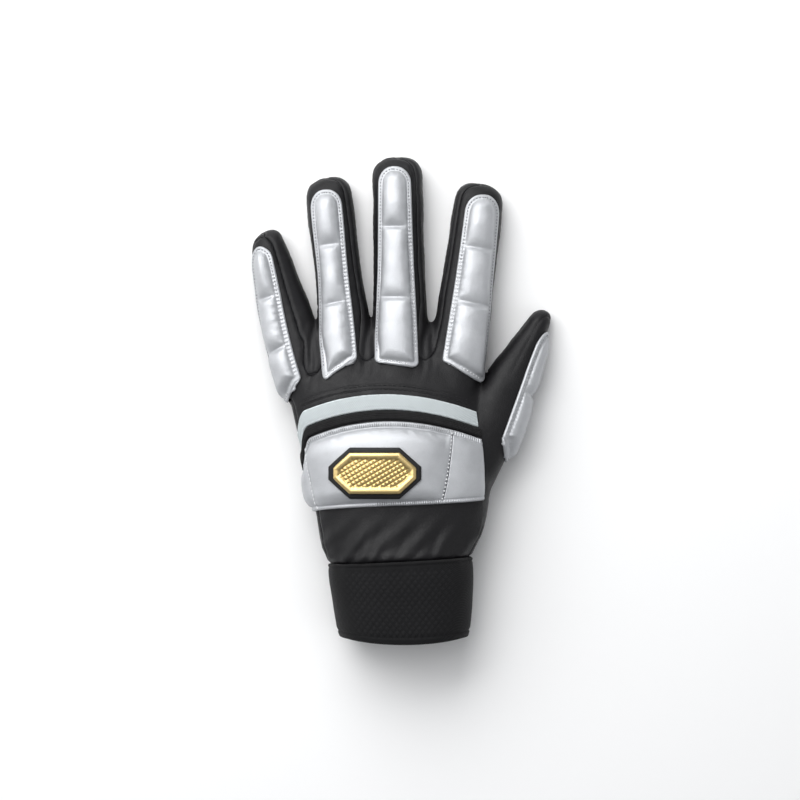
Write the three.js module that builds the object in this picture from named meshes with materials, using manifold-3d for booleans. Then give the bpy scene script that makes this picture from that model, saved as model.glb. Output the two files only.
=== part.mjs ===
// A padded baseball sliding glove for the left hand, lying palm down with its fingers spread.
// Millimetres, +Z up, fingers along +Y, thumb on the +X side. The finished group stands on z = 0
// with its origin under the middle of the glove.
// Every leather panel is a slice of one hollow hand form: a palm loft joined to five finger lofts.
// Pads, bands and the guard are layers laid over that form.
import * as THREE from "three";
import { mergeVertices } from "three/addons/utils/BufferGeometryUtils.js";
import Module from "manifold-3d";

const wasm = await Module();
wasm.setup();

// Leather, cloth and clearances
const leatherWall = 1.5;
const cuffWall = 2.3;
const seamGap = 0.3; // between pieces that are sewn together
const layGap = 0.6; // under a pad or band that is laid over the leather
const squareness = 2.35; // exponent of the rounded cross-sections, 2 is an ellipse

// Cuff
const cuffLength = 42;
const cuffWidth = 71;
const cuffThickness = 43;
const cuffShift = 0.6; // of its middle towards the thumb
const cuffTopRise = 3.6; // how much higher the seam is on the thumb side
const hemBow = 5; // how far the middle of the hem stands out past its ends
const cuffSections = [
  { along: 0, width: 1, height: 1 },
  { along: 0.19, width: 1, height: 1 },
  { along: 0.6, width: 0.965, height: 0.965 },
  { along: 0.87, width: 0.93, height: 0.935 },
  { along: 1, width: 0.87, height: 0.9 },
];

// Palm, measured from the seam where the leather meets the cuff
const palmLength = 116; // to the wall between the fingers
const palmWidth = 96;
const palmThickness = 40;
const palmPress = 2.5; // how far the underside is pressed flat by lying down
const palmTuck = 6; // leather inside the cuff
const mouthReach = 3; // of the hollow out of that end, in walls, so that it stays open
const tuckRise = cuffWall + seamGap; // of the tucked leather over the surface that the cuff lies on
const tuckWidth = cuffWidth - 2 * tuckRise;
const tuckHeight = cuffThickness - 2 * tuckRise;

// Palm sections: shares of palmLength, palmWidth and palmThickness, and the shift of the middle in shares
// of palmWidth. rise is the height of the underside in shares of palmThickness. The first two rows are inside
// the cuff.
const tuckSection = {
  width: tuckWidth / palmWidth, height: tuckHeight / palmThickness, shift: cuffShift / palmWidth,
  rise: tuckRise / palmThickness,
};
const palmSections = [
  { along: -palmTuck / palmLength, ...tuckSection },
  { along: 0.019, ...tuckSection },
  { along: 0.05, width: 0.775, height: 1.02, shift: 0.007, rise: 0 },
  { along: 0.1, width: 0.825, height: 1.02, shift: 0.01, rise: 0 },
  { along: 0.203, width: 0.878, height: 0.99, shift: 0.016, rise: 0 },
  { along: 0.322, width: 0.922, height: 0.965, shift: 0.008, rise: 0 },
  { along: 0.44, width: 0.944, height: 0.935, shift: -0.012, rise: 0 },
  { along: 0.56, width: 0.97, height: 0.89, shift: -0.04, rise: 0 },
  { along: 0.69, width: 0.994, height: 0.82, shift: -0.064, rise: 0 },
  { along: 0.82, width: 1.01, height: 0.7, shift: -0.083, rise: 0 },
  { along: 0.914, width: 1.0, height: 0.57, shift: -0.078, rise: 0 },
  { along: 0.97, width: 0.95, height: 0.46, shift: -0.07, rise: 0 },
  { along: 1, width: 0.86, height: 0.33, shift: -0.06, rise: 0 },
];

// Fingers. The root's place is in shares of palmWidth and palmLength, splay and bend are degrees towards the
// thumb, length runs from the root inside the palm to the tip, and width and height are those of the tube.
// widths and heights are shares of these at fingerStations. seam is the height of the seam between back and
// side in shares of the local height, and lean tips that seam towards the thumb, in degrees.
const fingerPress = 0.9;
const fingerStations = [0, 0.15, 0.3, 0.55, 0.8, 0.92];
const fingers = {
  pinky: {
    across: -0.455, up: 0.69, splay: -17, bend: 5, length: 84.5, width: 26.4, height: 21,
    widths: [0.84, 0.95, 0.99, 0.94, 0.76, 0.68], heights: [1.2, 1.15, 1.05, 0.88, 0.8, 0.74],
    seam: 0.86, lean: -32,
  },
  ring: {
    across: -0.234, up: 0.69, splay: -7, bend: 0.4, length: 108.8, width: 26.4, height: 23,
    widths: [0.95, 0.99, 0.99, 0.85, 0.88, 0.86], heights: [1.33, 1.22, 1.09, 0.89, 0.8, 0.74],
    seam: 0.66, lean: -26,
  },
  middle: {
    across: 0.018, up: 0.69, splay: -1.4, bend: 0.4, length: 118.4, width: 27.2, height: 24,
    widths: [0.96, 0.99, 0.99, 0.92, 0.91, 0.9], heights: [1.31, 1.2, 1.07, 0.87, 0.79, 0.72],
    seam: 0.67, lean: -21,
  },
  index: {
    across: 0.27, up: 0.69, splay: 8.8, bend: -1.8, length: 106, width: 27.4, height: 23,
    widths: [0.93, 0.98, 1, 0.93, 0.9, 0.88], heights: [1.24, 1.17, 1.07, 0.9, 0.8, 0.74],
    seam: 0.66, lean: 19,
  },
  thumb: {
    across: 0.3, up: 0.29, splay: 21.5, bend: 6.5, length: 98.5, width: 30, height: 28,
    widths: [0.86, 0.98, 0.98, 0.82, 0.56, 0.45], heights: [0.95, 1, 0.98, 0.86, 0.68, 0.58],
    seam: 0.95, lean: 56,
  },
};
const tipRound = 11; // length over which a fingertip closes
const tipFlattening = 0.65; // how much of its narrowing is also taken off its height
// How a fingertip closes: shares of tipRound left before the end, and of the width there
const tipSections = [
  { left: 0.55, size: 0.93 },
  { left: 0.2, size: 0.76 },
  { left: 0, size: 0.5 },
];

// Seams between the panels
const palmSeamHeight = 6; // of the side walls above the surface that the glove lies on
const backSeamShare = 0.64; // of the local palm height, where the back panel starts
// The seam between the back of the hand and the thumb, in shares of palmWidth and palmLength
const thumbSeam = [
  { across: 0.43, up: -0.25 },
  { across: 0.442, up: 0.25 },
  { across: 0.448, up: 0.55 },
  { across: 0.45, up: 0.79 },
  { across: 0.49, up: 0.9 },
  { across: 0.62, up: 1.12 },
];

// Finger pads. from and to are shares of the finger's length, lean and reach are degrees round the finger, at
// the low and the high end: the middle of the pad away from straight up, and how far it reaches to each side.
// slant is how much lower the low end is on the thumb side, and seams are shares of the pad's length.
const padFlange = 1.2; // two leathers sewn flat round a cushion
const padRise = 3.5; // of a cushion over its flange
const pads = {
  pinky: { from: 0.05, to: 0.925, lean: [-50, -28], reach: [40, 35], slant: -8, seams: [0.3, 0.65] },
  ring: { from: 0.122, to: 0.94, lean: [-22, -10], reach: [38, 37], slant: -7.5, seams: [0.372, 0.694] },
  middle: { from: 0.127, to: 0.952, lean: [-11, -8], reach: [44, 35], slant: 2.5, seams: [0.34, 0.7] },
  index: { from: 0.114, to: 0.945, lean: [21, 13], reach: [46, 39], slant: 8.4, seams: [0.387, 0.7] },
  thumb: { from: 0.25, to: 0.9, lean: [72, 62], reach: [40, 38], slant: 10, seams: [0.5] },
};

// Bands and guard across the back of the hand. low and high are the distances of the edges from the cuff seam,
// in shares of palmLength, where they stand highest, from and to are degrees round the palm away from
// straight up, and thickness is that of the piece.
const knuckleBow = 10.5; // how far the bands' ends lie behind their middles
const sideDrop = 11; // how much further they fall back round the little finger's side
const sideStart = -58; // degrees round the palm, where that begins
const sideTurn = 30; // degrees over which they fall back so far
const bands = {
  knuckle_band: { low: 0.632, high: 0.697, from: -84, to: 62, thickness: 1.1 },
  flex_band: { low: 0.593, high: 0.6285, from: -96, to: 64, thickness: 1.9 },
};
const guard = { low: 0.234, high: 0.585, from: -97, fold: -67, tab: 25, to: 64 };
const tabSlant = 9; // degrees that the tab's seam leans towards the thumb at its upper end
const guardFlange = 1.4;
const guardRise = 4.4;
const sideRise = 3.6; // of its cushion round the little finger's side
const tabRise = 0.8;
const guardBottomSlope = 0.00032; // how much higher the lower edge is at each degree towards the thumb
const bandEdge = 0.75; // thickness of a band's edges, as a share of its middle's

// Badge on the guard, an elongated hexagon
const badge = { across: -0.12, up: 0.37, width: 40, height: 20, point: 8, taper: 0.75 };
const badgeBorder = 2.4; // of the backing round the plate
const backingThickness = 1;
const plateThickness = 1.3;

// Facets
const palmSides = 26;
const fingerSides = 12;
const cuffSides = 24;

const degrees = Math.PI / 180;
const clearOf = 60; // taller than anything on the glove
const clearUnder = -5; // lower than anything on it
const palmMargin = 3; // of a cutting space over the palm's side
const fingerMargin = 2.5; // and over a finger's

// A manifold solid from points and triangles, turned so that its faces point out
function solidFrom(points, triangles) {
  const geometry = new THREE.BufferGeometry().setFromPoints(points);
  geometry.setIndex(triangles);
  const merged = mergeVertices(geometry, 1e-4);
  const build = (order) =>
    new wasm.Manifold(
      new wasm.Mesh({
        numProp: 3,
        vertProperties: new Float32Array(merged.attributes.position.array),
        triVerts: new Uint32Array(order),
      }),
    );
  const solid = build(merged.index.array);
  return solid.volume() > 0 ? solid : build([...merged.index.array].reverse());
}

function geometryOf(solid) {
  const mesh = solid.getMesh();
  const position = new Float32Array(mesh.numVert * 3);
  for (let i = 0; i < mesh.numVert; i++) {
    position.set(mesh.vertProperties.subarray(i * mesh.numProp, i * mesh.numProp + 3), i * 3);
  }
  const geometry = new THREE.BufferGeometry();
  geometry.setAttribute("position", new THREE.BufferAttribute(position, 3));
  geometry.setIndex(new THREE.BufferAttribute(new Uint32Array(mesh.triVerts), 1));
  geometry.computeVertexNormals();
  return geometry;
}

// Triangles of the wall through rings of equally many points
function ringWall(rings, sides) {
  const triangles = [];
  for (let r = 0; r + 1 < rings; r++) {
    for (let i = 0; i < sides; i++) {
      const a = r * sides + i;
      const b = r * sides + ((i + 1) % sides);
      triangles.push(a, b, b + sides, a, b + sides, a + sides);
    }
  }
  return triangles;
}

// A closed solid through rings of points, with a fan at each end
function loft(rings) {
  const sides = rings[0].length;
  const points = rings.flat();
  const triangles = ringWall(rings.length, sides);
  for (const [ring, turned] of [[0, false], [rings.length - 1, true]]) {
    const middle = new THREE.Vector3();
    rings[ring].forEach((p) => middle.addScaledVector(p, 1 / sides));
    points.push(middle);
    for (let i = 0; i < sides; i++) {
      const a = ring * sides + i;
      const b = ring * sides + ((i + 1) % sides);
      triangles.push(...(turned ? [a, b, points.length - 1] : [b, a, points.length - 1]));
    }
  }
  return solidFrom(points, triangles);
}

// A tube open at both ends, from its outer rings and its inner rings
function tube(outer, inner) {
  const rings = [...outer, ...[...inner].reverse(), outer[0]];
  return solidFrom(rings.flat(), ringWall(rings.length, outer[0].length));
}

// A vertical prism over a plan outline of [x, y] points
function prism(outline, bottom, top) {
  const shape = new THREE.Shape(outline.map(([x, y]) => new THREE.Vector2(x, y)));
  const geometry = new THREE.ExtrudeGeometry(shape, { depth: top - bottom, bevelEnabled: false });
  geometry.translate(0, 0, bottom);
  geometry.deleteAttribute("normal");
  geometry.deleteAttribute("uv");
  const merged = mergeVertices(geometry, 1e-4);
  const points = [];
  for (let i = 0; i < merged.attributes.position.count; i++) {
    points.push(new THREE.Vector3().fromBufferAttribute(merged.attributes.position, i));
  }
  return solidFrom(points, [...merged.index.array]);
}

// A layer between two grids of points, under(u, v) and over(u, v)
function layer(columns, rows, under, over) {
  const across = columns.length;
  const half = across * rows.length;
  const points = [];
  for (const point of [under, over]) {
    for (const v of rows) columns.forEach((u) => points.push(point(u, v)));
  }
  const triangles = [];
  const quad = (a, b, c, d) => triangles.push(a, b, c, a, c, d);
  for (let r = 0; r + 1 < rows.length; r++) {
    for (let c = 0; c + 1 < across; c++) {
      const a = r * across + c;
      quad(a, a + across, a + across + 1, a + 1);
      quad(half + a, half + a + 1, half + a + across + 1, half + a + across);
    }
  }
  const rim = [];
  for (let c = 0; c + 1 < across; c++) rim.push(c);
  for (let r = 0; r + 1 < rows.length; r++) rim.push(r * across + across - 1);
  for (let c = across - 1; c > 0; c--) rim.push(half - across + c);
  for (let r = rows.length - 1; r > 0; r--) rim.push(r * across);
  rim.forEach((a, i) => {
    const b = rim[(i + 1) % rim.length];
    quad(a, b, b + half, a + half);
  });
  return solidFrom(points, triangles);
}

function join(solids) {
  return solids.reduce((all, solid) => all.add(solid));
}

function mix(a, b, share) {
  return a + (b - a) * share;
}

// A value at a share along a row of values given at stations, on a smooth curve
function along(stations, values, share) {
  const last = stations.length - 1;
  if (share <= stations[0]) return values[0];
  if (share >= stations[last]) return values[last];
  const i = stations.findIndex((s) => s > share) - 1;
  const t = (share - stations[i]) / (stations[i + 1] - stations[i]);
  const before = values[Math.max(i - 1, 0)];
  const after = values[Math.min(i + 2, last)];
  const [a, b] = [values[i], values[i + 1]];
  return 0.5 * (2 * a + (b - before) * t + (2 * before - 5 * a + 4 * b - after) * t * t +
    (3 * a - before - 3 * b + after) * t * t * t);
}

// A rounded cross-section with a pressed underside, as [across, up] at an angle from the +X side.
// offset moves its surface outwards, or inwards if negative.
function roundSection(angle, { width, height, rise = 0 }, press, offset) {
  const power = 2 / squareness;
  const [c, s] = [Math.cos(angle), Math.sin(angle)];
  const halfHeight = (height + press) / 2;
  const x = (width / 2 + offset) * Math.sign(c) * Math.abs(c) ** power;
  const z = halfHeight - press + (halfHeight + offset) * Math.sign(s) * Math.abs(s) ** power;
  return [x, rise + Math.max(z, -offset)];
}

// The height of such a cross-section's back, at a distance from its middle
function roundTop(across, { width, height, rise = 0 }, press) {
  const t = Math.min(Math.abs(across) / (width / 2), 1);
  const halfHeight = (height + press) / 2;
  return t < 1 ? rise + halfHeight - press + halfHeight * (1 - t ** squareness) ** (1 / squareness) : 0;
}

// Palm

const palmStations = palmSections.map((s) => s.along);

function palmAt(share) {
  const value = (column) => along(palmStations, palmSections.map((s) => s[column]), share);
  return {
    x: palmWidth * value("shift"),
    width: palmWidth * value("width"),
    height: palmThickness * value("height"),
    rise: Math.max(0, palmThickness * value("rise")),
  };
}

function palmPoint(share, angle, offset) {
  const at = palmAt(share);
  const [x, z] = roundSection(angle, at, palmPress, offset);
  return new THREE.Vector3(at.x + x, share * palmLength, z);
}

function palmForm(offset) {
  const last = palmStations.length - 1;
  const rings = palmStations.map((share, row) => {
    const ring = [];
    for (let i = 0; i < palmSides; i++) {
      const p = palmPoint(share, (i / palmSides) * 2 * Math.PI, offset);
      if (row === 0) p.y -= mouthReach * Math.max(-offset, 0);
      if (row === last) p.y += offset;
      ring.push(p);
    }
    return ring;
  });
  return loft(rings);
}

// Fingers

// A finger's middle line in plan: half its length along splay, half along splay + bend, rounded to one curve
function fingerCurve(finger) {
  const step = (angle) =>
    new THREE.Vector2(Math.sin(angle * degrees), Math.cos(angle * degrees)).multiplyScalar(finger.length / 2);
  const root = new THREE.Vector2(finger.across * palmWidth, finger.up * palmLength);
  const knee = root.clone().add(step(finger.splay));
  return new THREE.QuadraticBezierCurve(root, knee, knee.clone().add(step(finger.splay + finger.bend)));
}
for (const finger of Object.values(fingers)) finger.curve = fingerCurve(finger);

// The finger's frame and size at a share of its length
function fingerAt(finger, share) {
  const t = Math.min(Math.max(share, 0), 1);
  const middle = finger.curve.getPointAt(t);
  const forward = finger.curve.getTangentAt(t);
  middle.addScaledVector(forward, (share - t) * finger.length);
  return {
    middle,
    forward,
    across: new THREE.Vector2(forward.y, -forward.x),
    width: finger.width * along(fingerStations, finger.widths, share),
    height: finger.height * along(fingerStations, finger.heights, share),
  };
}

// How much narrower a fingertip is at a share of the finger's length
function tipSize(finger, share) {
  const left = ((1 - share) * finger.length) / tipRound;
  if (left >= 1) return 1;
  const rows = [...tipSections].reverse();
  return along([...rows.map((s) => s.left), 1], [...rows.map((s) => s.size), 1], left);
}

function fingerPoint(finger, share, angle, offset, pushed = 0) {
  const at = fingerAt(finger, share);
  const size = tipSize(finger, share);
  const section = { width: at.width * size, height: at.height * mix(1, size, tipFlattening) };
  const [x, z] = roundSection(angle, section, fingerPress, offset);
  const plan = at.middle.clone().addScaledVector(at.across, x).addScaledVector(at.forward, pushed);
  return new THREE.Vector3(plan.x, plan.y, z);
}

function fingerForm(finger, offset) {
  const close = 1 - tipRound / finger.length;
  const sections = [0, 0.15, 0.3, 0.46, 0.64, 0.8, close].map((share) => ({ share, pushed: 0 }));
  for (const { left } of tipSections) {
    sections.push({ share: 1 - (left * tipRound) / finger.length, pushed: offset * (1 - left) });
  }
  return loft(
    sections.map(({ share, pushed }) => {
      const ring = [];
      for (let i = 0; i < fingerSides; i++) {
        ring.push(fingerPoint(finger, share, (i / fingerSides) * 2 * Math.PI, offset, pushed));
      }
      return ring;
    }),
  );
}

// The height of the leather's back over a plan point, without the form that is left out
function topAt(x, y, without) {
  const share = y / palmLength;
  let top = 0;
  if (without !== "palm" && share < 1) {
    const at = palmAt(share);
    top = roundTop(x - at.x, at, palmPress);
  }
  for (const [name, finger] of Object.entries(fingers)) {
    if (name === without) continue;
    const target = new THREE.Vector2(x, y);
    let near = 0.5;
    for (let step = 0; step < 3; step++) {
      const at = fingerAt(finger, near);
      near += target.clone().sub(at.middle).dot(at.forward) / finger.length;
    }
    if (near < 0 || near > 1) continue;
    const at = fingerAt(finger, near);
    const across = target.sub(at.middle).dot(at.across);
    const section = { width: at.width * tipSize(finger, near), height: at.height };
    top = Math.max(top, roundTop(across, section, fingerPress));
  }
  return top;
}

const liftedWithin = 88; // degrees away from straight up, past which a laid point isn't lifted

// A point laid at an offset over the palm or a finger, lifted where another form stands higher.
// around is in degrees away from straight up, towards the thumb if positive.
function laidPoint(form, share, around, offset) {
  const angle = (90 - around) * degrees;
  const at = (out) =>
    form === "palm" ? palmPoint(share, angle, out) : fingerPoint(fingers[form], share, angle, out);
  const base = at(0);
  const point = at(offset);
  if (Math.abs(around) < liftedWithin) point.z += Math.max(0, topAt(base.x, base.y, form) - base.z);
  return point;
}

// Panels

// The whole hand form, its surface moved outwards by offset
function handForm(offset) {
  return join([palmForm(offset), ...Object.values(fingers).map((finger) => fingerForm(finger, offset))]);
}

// A loft of upright rectangles, each from a slanted lower edge to above the glove
function spaceAbove(frames) {
  return loft(
    frames.map(({ place, half, seam, slope }) =>
      [[-half, seam + half * slope], [half, seam - half * slope], [half, clearOf], [-half, clearOf]].map(
        ([x, z]) => {
          const plan = place(x);
          return new THREE.Vector3(plan.x, plan.y, z);
        },
      ),
    ),
  );
}

// Shares of the palm and of a finger at which the seams' heights are read
const palmCuts = [-palmTuck / palmLength - 0.05, 0.05, 0.3, 0.56, 0.8, 0.96];
const fingerCuts = [0.02, 0.15, 0.3, 0.55, 0.8, 1.06];
const gussetCuts = [0.12, 0.5, 1.08]; // where the space between two fingers is measured out

// The space above the seams of the back panels, lowered by drop
function backSpace(drop) {
  const palm = spaceAbove(
    palmCuts.map((share) => {
      const at = palmAt(share);
      return {
        place: (x) => new THREE.Vector2(at.x + x, share * palmLength),
        half: at.width / 2 + palmMargin,
        seam: at.height * backSeamShare - drop,
        slope: 0,
      };
    }),
  );
  const backs = Object.values(fingers).map((finger) =>
    spaceAbove(
      fingerCuts.map((share) => {
        const at = fingerAt(finger, share);
        const slope = Math.tan(finger.lean * degrees);
        return {
          place: (x) => at.middle.clone().addScaledVector(at.across, x),
          half: at.width / 2 + fingerMargin,
          seam: at.height * finger.seam - drop / Math.cos(finger.lean * degrees),
          slope,
        };
      }),
    ),
  );
  return join([palm, ...backs]);
}

// The space over the middle lines of two neighbouring fingers and between them, above the palm seam
function betweenFingers(left, right, shrink) {
  const edge = (finger, side) =>
    gussetCuts.map((share) => {
      const at = fingerAt(finger, share);
      const p = at.middle.clone().addScaledVector(at.across, side * shrink);
      return [p.x, p.y];
    });
  const outline = [...edge(left, 1), ...edge(right, -1).reverse()];
  return prism(outline, palmSeamHeight + shrink, clearOf);
}

// The space on the thumb's side of the seam beside the guard
function thumbSpace(shift) {
  const line = thumbSeam.map(({ across, up }) => [across * palmWidth + shift, up * palmLength]);
  const far = palmWidth * 1.2;
  return prism([...line, [far, line.at(-1)[1]], [far, line[0][1]]], clearUnder, clearOf);
}

const group = new THREE.Group();

function place(name, solid, color, roughness, metalness = 0) {
  const bodies = solid.decompose().sort((a, b) => b.volume() - a.volume());
  const mesh = new THREE.Mesh(
    geometryOf(bodies[0]),
    new THREE.MeshStandardMaterial({ color, roughness, metalness }),
  );
  mesh.name = name;
  group.add(mesh);
}

const black = 0x2e2d30;
const deepBlack = 0x232225;
const silver = 0xd5d6d8;
const hollow = handForm(0).subtract(handForm(-leatherWall));
const backs = hollow.intersect(backSpace(0));
const walls = hollow.subtract(backSpace(seamGap));
const neighbours = [["pinky", "ring"], ["ring", "middle"], ["middle", "index"]];
const overPalmSeam = prism(
  [[palmWidth, -palmLength], [palmWidth, 2 * palmLength], [-palmWidth, 2 * palmLength], [-palmWidth, -palmLength]],
  palmSeamHeight,
  clearOf,
);

place("back_panel", backs.subtract(thumbSpace(0)), black, 0.5);
place("thumb_back", backs.intersect(thumbSpace(seamGap)), black, 0.5);
place("thumb_side", walls.intersect(thumbSpace(seamGap)).intersect(overPalmSeam.translate([0, 0, seamGap])), black, 0.5);
const gussets = neighbours.map(([left, right]) => betweenFingers(fingers[left], fingers[right], 0));
const thumbWalls = thumbSpace(0).intersect(overPalmSeam);
place("palm_panel", walls.subtract(join([...gussets, thumbWalls])), black, 0.6);
for (const [left, right] of neighbours) {
  const strip = walls.intersect(betweenFingers(fingers[left], fingers[right], seamGap));
  place(`fourchette_${left}_${right}`, strip, deepBlack, 0.6);
}

// Cuff

function cuffRing({ along: share, width, height }, offset) {
  const ring = [];
  for (let i = 0; i < cuffSides; i++) {
    const section = { width: cuffWidth * width, height: cuffThickness * height };
    const [x, z] = roundSection((i / cuffSides) * 2 * Math.PI, section, palmPress, offset);
    const side = x / (cuffWidth / 2);
    const top = (cuffTopRise / 2) * side;
    const hem = -cuffLength + hemBow * side * side;
    ring.push(new THREE.Vector3(cuffShift + x, mix(top, hem, share), z));
  }
  return ring;
}
place(
  "cuff",
  tube(cuffSections.map((s) => cuffRing(s, 0)), cuffSections.map((s) => cuffRing(s, -cuffWall))),
  0x1b1b1d,
  0.95,
);

// Cushions

const crownPower = 2.6; // how flat a cushion's top is
const crownEase = 0.8; // how steeply it rises from its edge

// The rise of a cushion between its edges or seams, as a share
function crown(t) {
  return Math.max(0, 1 - Math.abs(2 * t - 1) ** crownPower) ** crownEase;
}

const padColumns = [-1, -0.76, -0.45, 0, 0.45, 0.76, 1];
const flangeShare = 0.24; // of a pad's half width that is sewn flat
const tipShare = 0.3; // of its width left at the very end
const lowEndShare = 0.9; // of its width left at its low end

function padSolid(name) {
  const pad = pads[name];
  const finger = fingers[name];
  const length = (pad.to - pad.from) * finger.length;
  const halfWidth = (pad.reach[1] * degrees * finger.width) / 2;
  const roundStart = 1 - halfWidth / length;
  const stops = [0, ...pad.seams, 1];
  const rows = [0, 0.02];
  for (let i = 0; i + 1 < stops.length; i++) {
    const inside = i === stops.length - 2 ? [0.13, 0.35, 0.6] : [0.13, 0.5, 0.87];
    inside.forEach((t) => rows.push(mix(stops[i], stops[i + 1], t)));
    if (stops[i + 1] < 1) rows.push(stops[i + 1]);
  }
  rows.push(mix(roundStart, 1, 0.35), mix(roundStart, 1, 0.65), mix(roundStart, 1, 0.88), 1);
  rows.sort((a, b) => a - b);
  const narrowing = (v) => {
    const end = Math.max(0, (v - roundStart) / (1 - roundStart));
    return Math.max(tipShare, Math.sqrt(1 - end * end)) * (v === 0 ? lowEndShare : 1);
  };
  const rise = (u, v) => {
    const across = 1 - Math.min(1, Math.abs(u) / (1 - flangeShare));
    const i = stops.findIndex((s) => s > v) - 1;
    if (i < 0 || v <= 0) return 0;
    const t = (v - stops[i]) / (stops[i + 1] - stops[i]);
    return padRise * crown(across / 2) * crown(Math.min(t, 1));
  };
  const point = (u, v, offset) => {
    const share = mix(pad.from, pad.to, v) - (pad.slant * u * (1 - v) ** 3) / 2 / finger.length;
    const around = mix(pad.lean[0], pad.lean[1], v) + u * mix(pad.reach[0], pad.reach[1], v) * narrowing(v);
    return laidPoint(name, share, around, offset);
  };
  return layer(
    padColumns,
    rows,
    (u, v) => point(u, v, layGap),
    (u, v) => point(u, v, layGap + padFlange + rise(u, v)),
  );
}
for (const name of Object.keys(pads)) place(`${name}_pad`, padSolid(name), silver, 0.35, 0.3);

// Bands and guard

// The share of palmLength of a line across the back that stands highest at a share of palmLength
function bowedShare(high, around) {
  const angle = (90 - around) * degrees;
  const side = roundSection(angle, { width: 2, height: 2 }, 0, 0)[0];
  const fall = Math.max(0, (sideStart - around) / sideTurn);
  return high - (knuckleBow * side * side + sideDrop * fall * fall) / palmLength;
}

function bandSolid({ low, high, from, to, thickness }) {
  const columns = [];
  for (let around = from; around < to; around += 10) columns.push(around);
  columns.push(to);
  const point = (around, v, offset) =>
    laidPoint("palm", bowedShare(mix(low, high, v), around), around, offset);
  return layer(
    columns,
    [0, 0.5, 1],
    (around, v) => point(around, v, layGap),
    (around, v) => point(around, v, layGap + thickness * (v === 0.5 ? 1 : bandEdge)),
  );
}
for (const [name, band] of Object.entries(bands)) {
  place(name, bandSolid(band), name === "flex_band" ? 0x1d1d1f : 0xcdd4d6, 0.7);
}

// The guard's fields lie side by side round the palm: field 0 to 1 is the side, 1 to 2 the main cushion and
// 2 to 3 the tab. These are the degrees of their edges, and the rise of each field.
const guardEdges = (v) => [guard.from, guard.fold, guard.tab + tabSlant * v, guard.to];
const guardRises = [sideRise, guardRise, tabRise];

function guardAround(field, v) {
  const first = Math.min(Math.floor(field), 2);
  return mix(guardEdges(v)[first], guardEdges(v)[first + 1], field - first);
}

// The guard's lower edge is nearly straight, its upper edge is bowed like the bands
function guardShare(around, v) {
  return mix(guard.low + guardBottomSlope * around, bowedShare(guard.high, around), v);
}

// How far the guard's surface stands over the leather
function guardHeight(field, v) {
  const first = Math.min(Math.floor(field), 2);
  return layGap + guardFlange + guardRises[first] * crown(field - first) * crown(v);
}

function guardSolid(fields) {
  const point = (field, v, offset) => {
    const around = guardAround(field, v);
    return laidPoint("palm", guardShare(around, v), around, offset);
  };
  return layer(
    fields,
    [0, 0.07, 0.2, 0.5, 0.8, 0.93, 1],
    (field, v) => point(field, v, layGap),
    (field, v) => point(field, v, guardHeight(field, v)),
  );
}
const sideFields = [0, 0.15, 0.5, 0.85];
const mainFields = [1, 1.05, 1.18, 1.32, 1.46, 1.6, 1.74, 1.86, 1.95, 1.996];
place("knuckle_guard", guardSolid([...sideFields, ...mainFields]), silver, 0.35, 0.3);
place("guard_tab", guardSolid([2.008, 2.12, 2.4, 2.7, 3]), silver, 0.35, 0.3);

// Badge

// The badge's outline shrunk or grown by border: half its height at a distance from its middle
function badgeHalfHeight(x, border) {
  const flat = badge.width / 2 - badge.point;
  const past = Math.max(0, Math.abs(x) - flat) / (badge.point + border);
  return (badge.height / 2 + border) * (1 - badge.taper * past);
}

function badgeSolid(border, lift, thickness) {
  const half = badge.width / 2 + border;
  const xs = [-1, -0.6, -0.3, 0, 0.3, 0.6, 1].map((t) => t * half);
  const guardAt = (x, y) => {
    const share = badge.up + y / palmLength;
    const at = palmAt(share);
    const side = (badge.across * palmWidth + x - at.x) / (at.width / 2);
    const around = (Math.asin(Math.sign(side) * Math.abs(side) ** (squareness / 2)) / degrees);
    const low = guardShare(around, 0);
    const v = (share - low) / (guardShare(around, 1) - low);
    const field = 1 + (around - guard.fold) / (guardEdges(v)[2] - guard.fold);
    return { share, around, height: guardHeight(field, v) };
  };
  const point = (x, v, out) => {
    const { share, around, height } = guardAt(x, badgeHalfHeight(x, border) * v);
    return laidPoint("palm", share, around, height + out);
  };
  return layer(xs, [-1, -0.5, 0, 0.5, 1], (x, v) => point(x, v, lift), (x, v) => point(x, v, lift + thickness));
}
place("badge_backing", badgeSolid(badgeBorder, layGap, backingThickness), 0x151515, 0.5);
place("badge_plate", badgeSolid(0, layGap + backingThickness + seamGap, plateThickness), 0xc9a24a, 0.3, 0.9);

// The group's origin goes under the middle of the glove
const box = new THREE.Box3().setFromObject(group);
const middle = box.getCenter(new THREE.Vector3());
group.position.set(-middle.x, -middle.y, -box.min.z);

export default group;
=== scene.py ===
"""A padded baseball sliding glove for the left hand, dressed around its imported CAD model.

Lengths are millimetres in the glove's own coordinates, +Z up, fingers along +Y, with Y = 0 at the seam
between leather and cuff. A mesh is moved into the frame and scaled to metres when it is made.
"""

import bpy
import numpy as np
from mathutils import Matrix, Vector
from mathutils.bvhtree import BVHTree
from mathutils.kdtree import KDTree


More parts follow.
